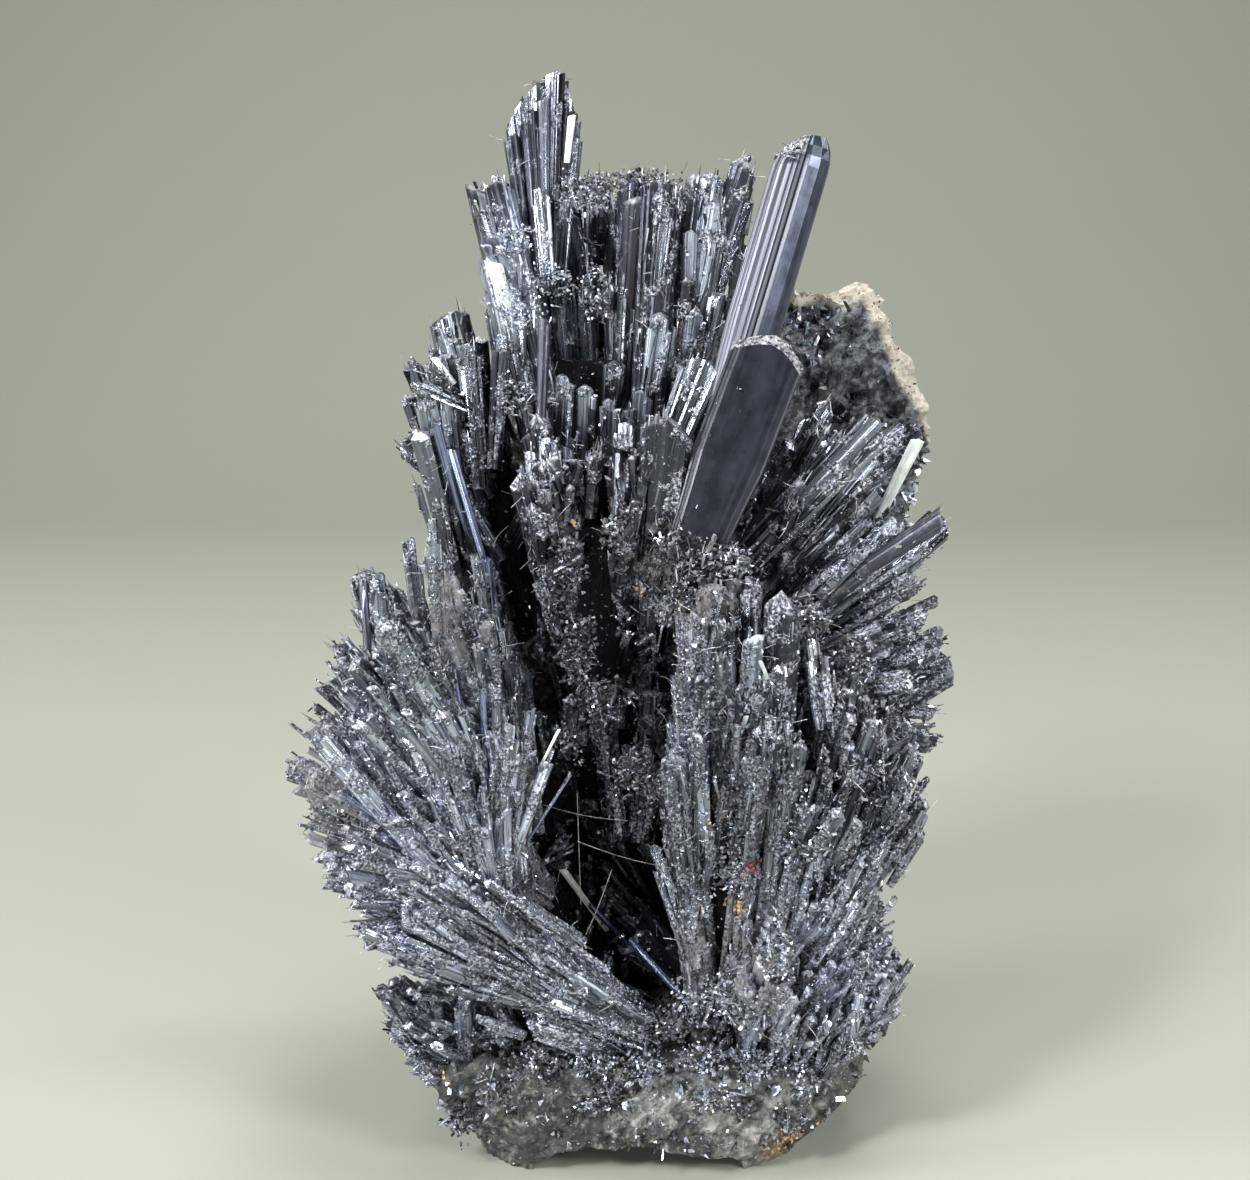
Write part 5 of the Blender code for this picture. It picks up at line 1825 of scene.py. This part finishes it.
class SPECIMEN_OT_prism(bpy.types.Operator):
    """Makes the large striated prism at the upper right"""

    bl_idname = "specimen.prism"
    bl_label = "Striated prism"
    smooth_from = 0.34  # where the ribs on its front end, in half widths

    def execute(self, context):
        draw = random.Random("prism")
        base, tip = Vector(PRISM[0]), Vector(PRISM[1])
        width, thickness, roll = PRISM[2:]
        across, forward, axis = crystal_frame(base, tip, roll)
        length, steps = (tip - base).length, 26
        section = self.section(draw)
        stops = [draw.uniform(0.955, 0.985) for _ in section]
        rings, heights = [], []
        for r in range(steps + 1):
            height = length * (r / steps) ** 0.8
            share = height / length
            heights.append(share)
            ring = []
            for (x, y), stop in zip(section, stops):
                near_top = within((share - 0.90 + 0.012 * (1 - x)) / 0.125)
                narrow = max(0.35, math.sqrt(1 - 0.9 * near_top ** 2.2))
                worn = 1.0 if share < stop else 0.95
                swell = (ROOT_TAPER + (1 - ROOT_TAPER) * min(1.0, share * 2.2)) * narrow * worn
                ring.append(base + axis * (height - length * 0.009 * (1 - x) * share)
                            + across * x * swell * width / 2 + forward * y * swell * thickness / 2)
            rings.append(ring)
        around, total = [0.0], 0.0
        for i in range(len(section)):
            total += math.dist(section[i], section[(i + 1) % len(section)]) * width / 2
            around.append(total)

        def slot_of(r, i):
            x, y = section[i % len(section)]
            if r >= steps - 2:
                return 1 if x < 0.1 else 3
            return 2 if y < 0 and x > self.smooth_from - 0.01 else 0

        top = frost()
        smooth = plain_material("prism_side", (0.12, 0.135, 0.19, 1.0), 0.24, 0.8)
        facet = plain_material("prism_facet", (0.05, 0.065, 0.085, 1.0), 0.16, 0.5)
        obj = lofted("striated_prism_crystal", rings, (around, heights), slot_of,
                     (clean_stibnite(), top, smooth, facet))
        finish_piece(obj, "stibnite", "striated_prism")
        return {"FINISHED"}

    def section(self, draw):
        """The prism's outline: a plain back, ribs at the front, one smooth face to the right."""
        corners = [(1.0, 0.12), (0.82, 0.66), (0.36, 0.94), (-0.3, 0.92), (-0.8, 0.62)]
        x = -1.0
        while x < self.smooth_from - 0.05:
            step = draw.uniform(0.07, 0.30)
            front = -0.30 - 0.62 * min(1.0, (x + 1.0) / 0.75)
            corners += [
                (x, front + draw.choice((0.04, 0.06, 0.13))), (x + step * 0.25, front - 0.01),
                (x + step * 0.8, front - draw.uniform(0.0, 0.05))]
            x += step
        corners += [(self.smooth_from, -0.94), (0.70, -0.62), (0.97, -0.22)]
        return corners


class SPECIMEN_OT_blade(bpy.types.Operator):
    """Makes the broad dark blade with its bright rim"""

    bl_idname = "specimen.blade"
    bl_label = "Broad blade"

    def execute(self, context):
        draw = random.Random("blade")
        base, tip = Vector(BLADE[0]), Vector(BLADE[1])
        width, thickness, roll = BLADE[2:]
        across, forward, axis = crystal_frame(base, tip, roll)
        length, count, steps = (tip - base).length, 56, 18
        outline = []
        for i in range(count):
            angle = 2 * math.pi * i / count
            x = math.copysign(abs(math.cos(angle)) ** 0.5, math.cos(angle))
            y = math.copysign(abs(math.sin(angle)) ** 0.22, math.sin(angle))
            rib = draw.uniform(-0.08, 0.03) if abs(x) > 0.72 else draw.uniform(-0.012, 0.01)
            outline.append((x, y, rib))
        rings, heights = [], []
        for r in range(steps + 1):
            share = r / steps
            height = length * share ** 0.75
            ring = []
            for x, y, rib in outline:
                rounding = 0.085 * abs(x - 0.1) ** 1.5 + 0.012 * x
                near_top = height / length - 0.972
                narrow = 1.0 if near_top < 0 else max(0.45, 1 - near_top / 0.05)
                drop = -length * rounding * share
                swell = ROOT_TAPER + (1 - ROOT_TAPER) * min(1.0, share * 2.5)
                ring.append(base + axis * (height + drop) + across * x * swell * width * 0.47
                            + forward * y * (1 + rib) * narrow * swell * thickness * 0.45)
            rings.append(ring)
            heights.append(height / length)
        around = [i / count * 12.0 for i in range(count + 1)]
        top = frost()
        # Painted reflection: the blade's faces are painted near-black, as the dark surroundings
        # that they mirror.
        faces = plain_material("blade_faces", (0.022, 0.024, 0.036, 1.0), 0.22, 0.35)
        obj = lofted("broad_blade_crystal", rings, (around, heights),
                     lambda r, i: int(r >= steps - 1), (faces, top))
        finish_piece(obj, "dark_stibnite", "broad_blade")
        return {"FINISHED"}


class SPECIMEN_OT_notable(bpy.types.Operator):
    """Adds the crystals that stand out one by one"""

    bl_idname = "specimen.notable"
    bl_label = "Crystals that stand out"

    def execute(self, context):
        sizes, colours = context.scene.specimen_sizes, context.scene.specimen_colours
        lilac = plain_material("lilac_faces", colours.lilac, 0.14, 0.9)
        # Painted glint: a near-white finish, so that these crystals look lit whatever the light
        # does.
        glint = plain_material("glint_faces", colours.glint, 0.16, 0.1)
        for name, kinds, slot, finish in (
            ("ribbed_crystals", ("flat", "point", "tablet", "bright"), "stibnite", stibnite()),
            ("dark_crystals", ("dark",), "dark_stibnite", dark_stibnite()),
            ("lilac_crystals", ("violet",), "stibnite", lilac),
            ("glinting_crystals", ("glint",), "stibnite", glint),
        ):
            draw, bed = random.Random(name), Bed()
            for base, tip, width, *kind in NOTABLE:
                kind = kind[0] if kind else "flat"
                if kind not in kinds:
                    continue
                base, tip = Vector(base), Vector(tip)
                if name == "ribbed_crystals":
                    top = "flat" if kind in ("flat", "tablet") else kind
                    single = Single(base, tip, width, width * 0.6, draw.uniform(-15, 15), top)
                    grow_single(bed, draw, single, sizes.crystal_width / MM)
                else:
                    bed.add(base, tip, width, width * 0.6, draw.uniform(-15, 15),
                            draw.choice((0, 2)), 0.8)
            finish_piece(crystals_from(bed, name, finish), slot)
        return {"FINISHED"}


class SPECIMEN_OT_lumps(bpy.types.Operator):
    """Heaps tiny crystals into fuzzy lumps"""

    bl_idname = "specimen.lumps"
    bl_label = "Fuzzy lumps"

    def execute(self, context):
        draw, bed = random.Random("lumps"), Bed(CLEFTS)
        for centre, radii, number, lightness in LUMPS:
            centre = Vector(centre)
            for _ in range(int(number * LUMP_FILL)):
                way = any_way(draw).normalized()
                if way.y > 0.5:
                    way.y = -way.y
                uneven = 0.95 + 0.75 * noise.noise(way * 1.6 + centre)
                out = Vector([way[i] * radii[i] for i in range(3)])
                spot = centre + out * uneven * draw.uniform(0.5, 1.0)
                wild = any_way(draw).normalized()
                lean = (way * 0.4 + wild + Vector((0, 0, 0.3))).normalized()
                fine = 0.68 if centre.z > 55 else 1.0
                length, width = fine * draw.uniform(0.14, 0.5), fine * draw.uniform(0.15, 0.4)
                if any(in_room(spot, room, 0.0, ragged) for room, ragged in bed.rooms):
                    continue
                tint = within(draw.gauss(lightness - 0.06, 0.24))
                put_chip(bed, draw, spot, lean, length, width, tint)
        finish_piece(chips_from(bed, "fuzzy_lumps", crust()), "stibnite")
        return {"FINISHED"}


class SPECIMEN_OT_druse(bpy.types.Operator):
    """Crusts the rock with small crystals"""

    bl_idname = "specimen.druse"
    bl_label = "Druse on the rock"

    def execute(self, context):
        sizes = context.scene.specimen_sizes
        mesh = bpy.data.objects["matrix_rock"].data.copy()
        layer = mesh.attributes.new("crust", "FLOAT", "POINT")
        cover = []
        for vert in mesh.vertices:
            x, y, z = vert.co / MM
            bare = z < 1.0 or vert.normal.z < -0.5 or not inside_box(Vector((x, y, z)), 0.8)
            rim = max(z - RIM_TOP, x * RIM_SLOPE[0] + z * RIM_SLOPE[2] - RIM_REACH)
            ledge = x > 11.5 and rim > -1.2
            front = z < BASE_TOP and y < 4
            if bare or ledge:
                cover.append(0.0)
            elif front:
                cover.append(0.6 if z > BASE_TOP - 3 else 0.25)
            else:
                cover.append(0.12 if vert.normal.y > 0.25 else 1.0)
        layer.data.foreach_set("value", cover)
        obj = add_object("druse_crystals", mesh)
        run_nodes(obj, once("node_groups", "druse_crust", crust_tree), {
            "Crystals": held_shapes(chip_shapes), "Finish": crust(),
            "Density": DRUSE_DENSITY / MM ** 2, "Length": sizes.druse_length,
            "Patch Size": DRUSE_PATCH * MM, "Seed": 5})
        finish_piece(obj, "stibnite")
        return {"FINISHED"}


class SPECIMEN_OT_dust(bpy.types.Operator):
    """Settles sprigs, grains and hairs on what shows of the crystals"""

    bl_idname = "specimen.dust"
    bl_label = "Sprigs, grains and hairs"

    def execute(self, context):
        shell = shell_of([
            obj.name for obj in context.scene.objects
            if obj.type == "MESH" and not obj.hide_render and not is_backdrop(obj)])
        self.sprigs(context, shell)
        self.chips(context, shell)
        self.grains(context, shell)
        self.hairs(context, shell)
        return {"FINISHED"}

    def sprigs(self, context, shell):
        """Splinters that lie along the large crystals."""
        draw, bed = random.Random("sprigs"), Bed()
        for place, normal, along in settle(draw, shell, context.scene.specimen_sizes.sprigs):
            spot = place / MM
            if spot.z > 45.0 and draw.random() < 0.7:
                continue
            wild = any_way(draw).normalized()
            way = (along + normal * 0.06 + wild * draw.uniform(0.02, 0.3)).normalized()
            length, width = draw.uniform(0.6, 3.2), draw.uniform(0.14, 0.42)
            bed.add(spot - way * length * 0.7 - normal * width * 0.2, spot + way * length * 0.3,
                    width, width * 0.7, draw.uniform(-90, 90), draw.choice((5, 5, 5, 3)),
                    draw.random())
        finish_piece(crystals_from(bed, "small_crystals", stibnite()), "stibnite")

    def chips(self, context, shell):
        """Tiny crystals and grains in clumps all over what shows."""
        draw, bed = random.Random("chips"), Bed()
        number = context.scene.specimen_sizes.chips
        for place, normal, along in settle(draw, shell, number, 0.7, False):
            x, y, z = place / MM
            clump = 0.5 + noise.noise(place / (2.4 * MM)) + 0.5 * noise.noise(place / (0.9 * MM))
            cover = 0.3 if x < -9 and z < 15 else 0.6 if z > 45 or x < -8 else 1.0
            if draw.random() > clump * cover:
                continue
            wild = any_way(draw).normalized()
            streak = along.length and (x < -8 or z > 48) and draw.random() < 0.7
            wild, follow = (wild * 0.12, 2.0) if streak else (wild * 0.6, draw.uniform(0, 2.0))
            lean = (normal * 0.2 * (1 - bool(streak)) + wild + along * follow).normalized()
            spot = place / MM + normal * draw.uniform(-0.15, 0.3) * clump
            length, width = draw.uniform(0.14, 0.6), draw.uniform(0.13, 0.34)
            if streak:
                length, width = length * 2.6, width * 0.5
                spot = place / MM - normal * width * 0.3
            if not along.length:
                length, width = length * 0.6, width * 0.8
            darker = 0.0 if along.length else 0.16
            if -7 < x < 3 and y < -5 and 24 < z < 54:
                darker = 0.18
            # The chips are painted lighter in the painted-light patches, and darker where dust
            # lies.
            light = 0.50 - 0.35 * dustiness(place) + 0.16 * near_patch(place, PAINTED_LIGHT_PATCHES)
            tint = within(draw.gauss(light - darker, 0.27), 0.0, 1.0 - darker * 2)
            put_chip(bed, draw, spot, lean, length, width, tint)
        finish_piece(chips_from(bed, "crust_crystals", crust()), "stibnite")

    def grains(self, context, shell):
        """Rough grains of dust, thick in the dusty places, and a few grains with a colour."""
        colours, sizes = context.scene.specimen_colours, context.scene.specimen_sizes
        draw, bed = random.Random("grains on crystals"), Bed()
        for place, normal, _ in settle(draw, shell, sizes.grains, on_crystals=False):
            if draw.random() > dustiness(place):
                continue
            size = sizes.grain_size / MM * draw.uniform(0.5, 1.7)
            turn = tuple(draw.uniform(-3, 3) for _ in range(3))
            spot = place / MM + normal * size * 0.15
            bed.rows.append(
                (spot, normal, turn, (size, size, size), draw.randrange(3), draw.random()))
        finish = grain_material("dust_grains", colours.dust, (0.30, 0.27, 0.25, 1.0), 0.85)
        finish_piece(chips_from(bed, "dust_grains", finish, grain_shapes), "matrix")
        self.coloured(shell, colours)

    def coloured(self, shell, colours):
        """A few ochre, orange and red grains at their places on what shows."""
        draw = random.Random("coloured")
        for name, spots, first, second, roughness in (
            ("ochre_grains", OCHRE_SPOTS, colours.ochre, (0.62, 0.42, 0.20, 1.0), 0.6),
            ("red_grains", RED_SPOTS, (0.50, 0.03, 0.03, 1.0), (0.34, 0.02, 0.02, 1.0), 0.4),
        ):
            finish, bed = grain_material(name, first, second, roughness), Bed()
            for centre, spread, number in spots:
                for _ in range(number):
                    aim = Vector(centre) + any_way(draw) * spread
                    place, normal, _, _ = shell[0].ray_cast(
                        (aim - Vector((0, 12, 0))) * MM, Vector((0, 1, 0)))
                    if place is None:
                        continue
                    size = draw.uniform(0.22, 0.5)
                    turn = tuple(draw.uniform(-3, 3) for _ in range(3))
                    bed.rows.append(
                        (place / MM, normal, turn, (size, size, size), draw.randrange(3), 0.5))
            finish_piece(chips_from(bed, name, finish, grain_shapes), "matrix")

    def hairs(self, context, shell):
        """Hair-fine crystals: tangled lint on the dusty places, and long ones in the hollow."""
        sizes = context.scene.specimen_sizes
        draw = random.Random("hairs")
        corners, edges = [], []

        def line(points):
            start = len(corners)
            corners.extend(tuple(point) for point in points)
            edges.extend((start + i, start + i + 1) for i in range(len(points) - 1))

        for place, normal, _ in settle(draw, shell, sizes.hairs, 0.8):
            if draw.random() > 0.25 + dustiness(place):
                continue
            wild = any_way(draw).normalized()
            way = (normal * 0.2 + wild).normalized()
            bend = wild.cross(normal) * draw.uniform(-0.5, 0.5)
            length = draw.uniform(0.4, 1.6) * MM
            points = [
                place + way * length * t + bend * length * t * t for t in (-0.15, 0.35, 0.7, 1)]
            if all(CAD_LOW[i] < points[-1][i] < CAD_HIGH[i] for i in range(3)):
                line(points)
        for start, end in HOLLOW_HAIRS:
            start, end = Vector(start) * MM, Vector(end) * MM
            sag = Vector((0, 0, -0.25 * MM))
            stops = (0, 0.2, 0.4, 0.6, 0.8, 1)
            line([start.lerp(end, t) + sag * math.sin(math.pi * t) for t in stops])
        mesh = bpy.data.meshes.new("hair_crystals")
        mesh.from_pydata(corners, edges, [])
        obj = add_object("hair_crystals", mesh)
        finish = grain_material(
            "hairs", (0.30, 0.28, 0.28, 1.0), (0.60, 0.58, 0.60, 1.0), 0.35, 0.7)
        run_nodes(obj, once("node_groups", "hair_crystals", hair_tree), {
            "Finish": finish, "Hair Width": sizes.hair_width})
        finish_piece(obj, "stibnite")


class SPECIMEN_OT_stage(bpy.types.Operator):
    """Sets the pale floor, the soft lights and the camera"""

    bl_idname = "specimen.stage"
    bl_label = "Stage"

    def execute(self, context):
        scene, colours = context.scene, context.scene.specimen_colours
        profile = [(FLOOR_FRONT, 0.0), (FLOOR_BACK, 0.0)]
        for i in range(1, 13):
            a = math.radians(7.5 * i)
            profile.append(
                (FLOOR_BACK + FLOOR_BEND * math.sin(a), FLOOR_BEND - FLOOR_BEND * math.cos(a)))
        profile.append((FLOOR_BACK + FLOOR_BEND, BACKDROP_TOP))
        sides = (-FLOOR_HALF_WIDTH, FLOOR_HALF_WIDTH)
        corners = [(x, y, z) for y, z in profile for x in sides]
        faces = [(2 * i, 2 * i + 1, 2 * i + 3, 2 * i + 2) for i in range(len(profile) - 1)]
        mesh = bpy.data.meshes.new("floor")
        mesh.from_pydata(corners, [], faces)
        mesh.polygons.foreach_set("use_smooth", [True] * len(faces))
        made, graph, shader, place = new_material("floor_paper")
        lighter = tuple(min(1.0, part * 1.08) for part in colours.floor[:3]) + (1.0,)
        paper = graph.blend(graph.noise(place, 0.004, 2.0), colours.floor, lighter)
        graph.fill(shader, {"Base Color": paper, "Roughness": 0.9})
        mesh.materials.append(made)
        add_object("floor", mesh)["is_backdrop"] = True
        for light in LIGHTS:
            self.light(*light)
        world = bpy.data.worlds.new("studio")
        world.use_nodes = True
        Graph(world.node_tree).fill(world.node_tree.nodes["Background"], {
            "Color": (0.55, 0.58, 0.60, 1.0), "Strength": 0.05})
        scene.world = world
        scene.view_settings.view_transform = "Standard"
        camera = bpy.data.cameras.new("camera")
        camera.lens, camera.sensor_width = CAMERA_LENS, CAMERA_SENSOR
        camera.clip_start, camera.clip_end = 0.005, 10.0
        obj = bpy.data.objects.new("camera", camera)
        obj.location = CAMERA_PLACE
        obj.rotation_euler = (math.radians(90 - CAMERA_DOWN), 0.0, 0.0)
        scene.collection.objects.link(obj)
        scene.camera = obj
        return {"FINISHED"}

    def light(self, name, place, size, power):
        """A square soft light that looks at the specimen's middle."""
        lamp = bpy.data.lights.new(name, "AREA")
        lamp.size, lamp.energy = size, power
        obj = bpy.data.objects.new(name, lamp)
        obj.location = place
        aim = Vector(AIM) - Vector(place)
        obj.rotation_euler = aim.to_track_quat("-Z", "Y").to_euler()
        bpy.context.scene.collection.objects.link(obj)


OPERATORS = (
    SPECIMEN_OT_rock,
    SPECIMEN_OT_sprays,
    SPECIMEN_OT_wedge,
    SPECIMEN_OT_prism,
    SPECIMEN_OT_blade,
    SPECIMEN_OT_notable,
    SPECIMEN_OT_lumps,
    SPECIMEN_OT_druse,
    SPECIMEN_OT_dust,
    SPECIMEN_OT_stage,
)


class SPECIMEN_PT_panel(bpy.types.Panel):
    """The specimen's settings and the steps that build it"""

    bl_idname = "SPECIMEN_PT_panel"
    bl_label = "Stibnite spray"
    bl_space_type = "VIEW_3D"
    bl_region_type = "UI"
    bl_category = "Specimen"

    def draw(self, context):
        for group in (context.scene.specimen_sizes, context.scene.specimen_colours):
            box = self.layout.box()
            for name in group.__annotations__:
                box.prop(group, name)
        for operator in OPERATORS:
            self.layout.operator(operator.bl_idname)


CLASSES = (SpecimenSizes, SpecimenColours, *OPERATORS, SPECIMEN_PT_panel)


def register():
    for cls in CLASSES:
        bpy.utils.register_class(cls)
    bpy.types.Scene.specimen_sizes = PointerProperty(type=SpecimenSizes)
    bpy.types.Scene.specimen_colours = PointerProperty(type=SpecimenColours)


def unregister():
    del bpy.types.Scene.specimen_sizes
    del bpy.types.Scene.specimen_colours
    for cls in reversed(CLASSES):
        bpy.utils.unregister_class(cls)


def main():
    register()
    for operator in OPERATORS:
        group, name = operator.bl_idname.split(".")
        result = getattr(getattr(bpy.ops, group), name)()
        if result != {"FINISHED"}:
            raise RuntimeError(f"{operator.bl_label} didn't finish")


if __name__ == "__main__":
    main()
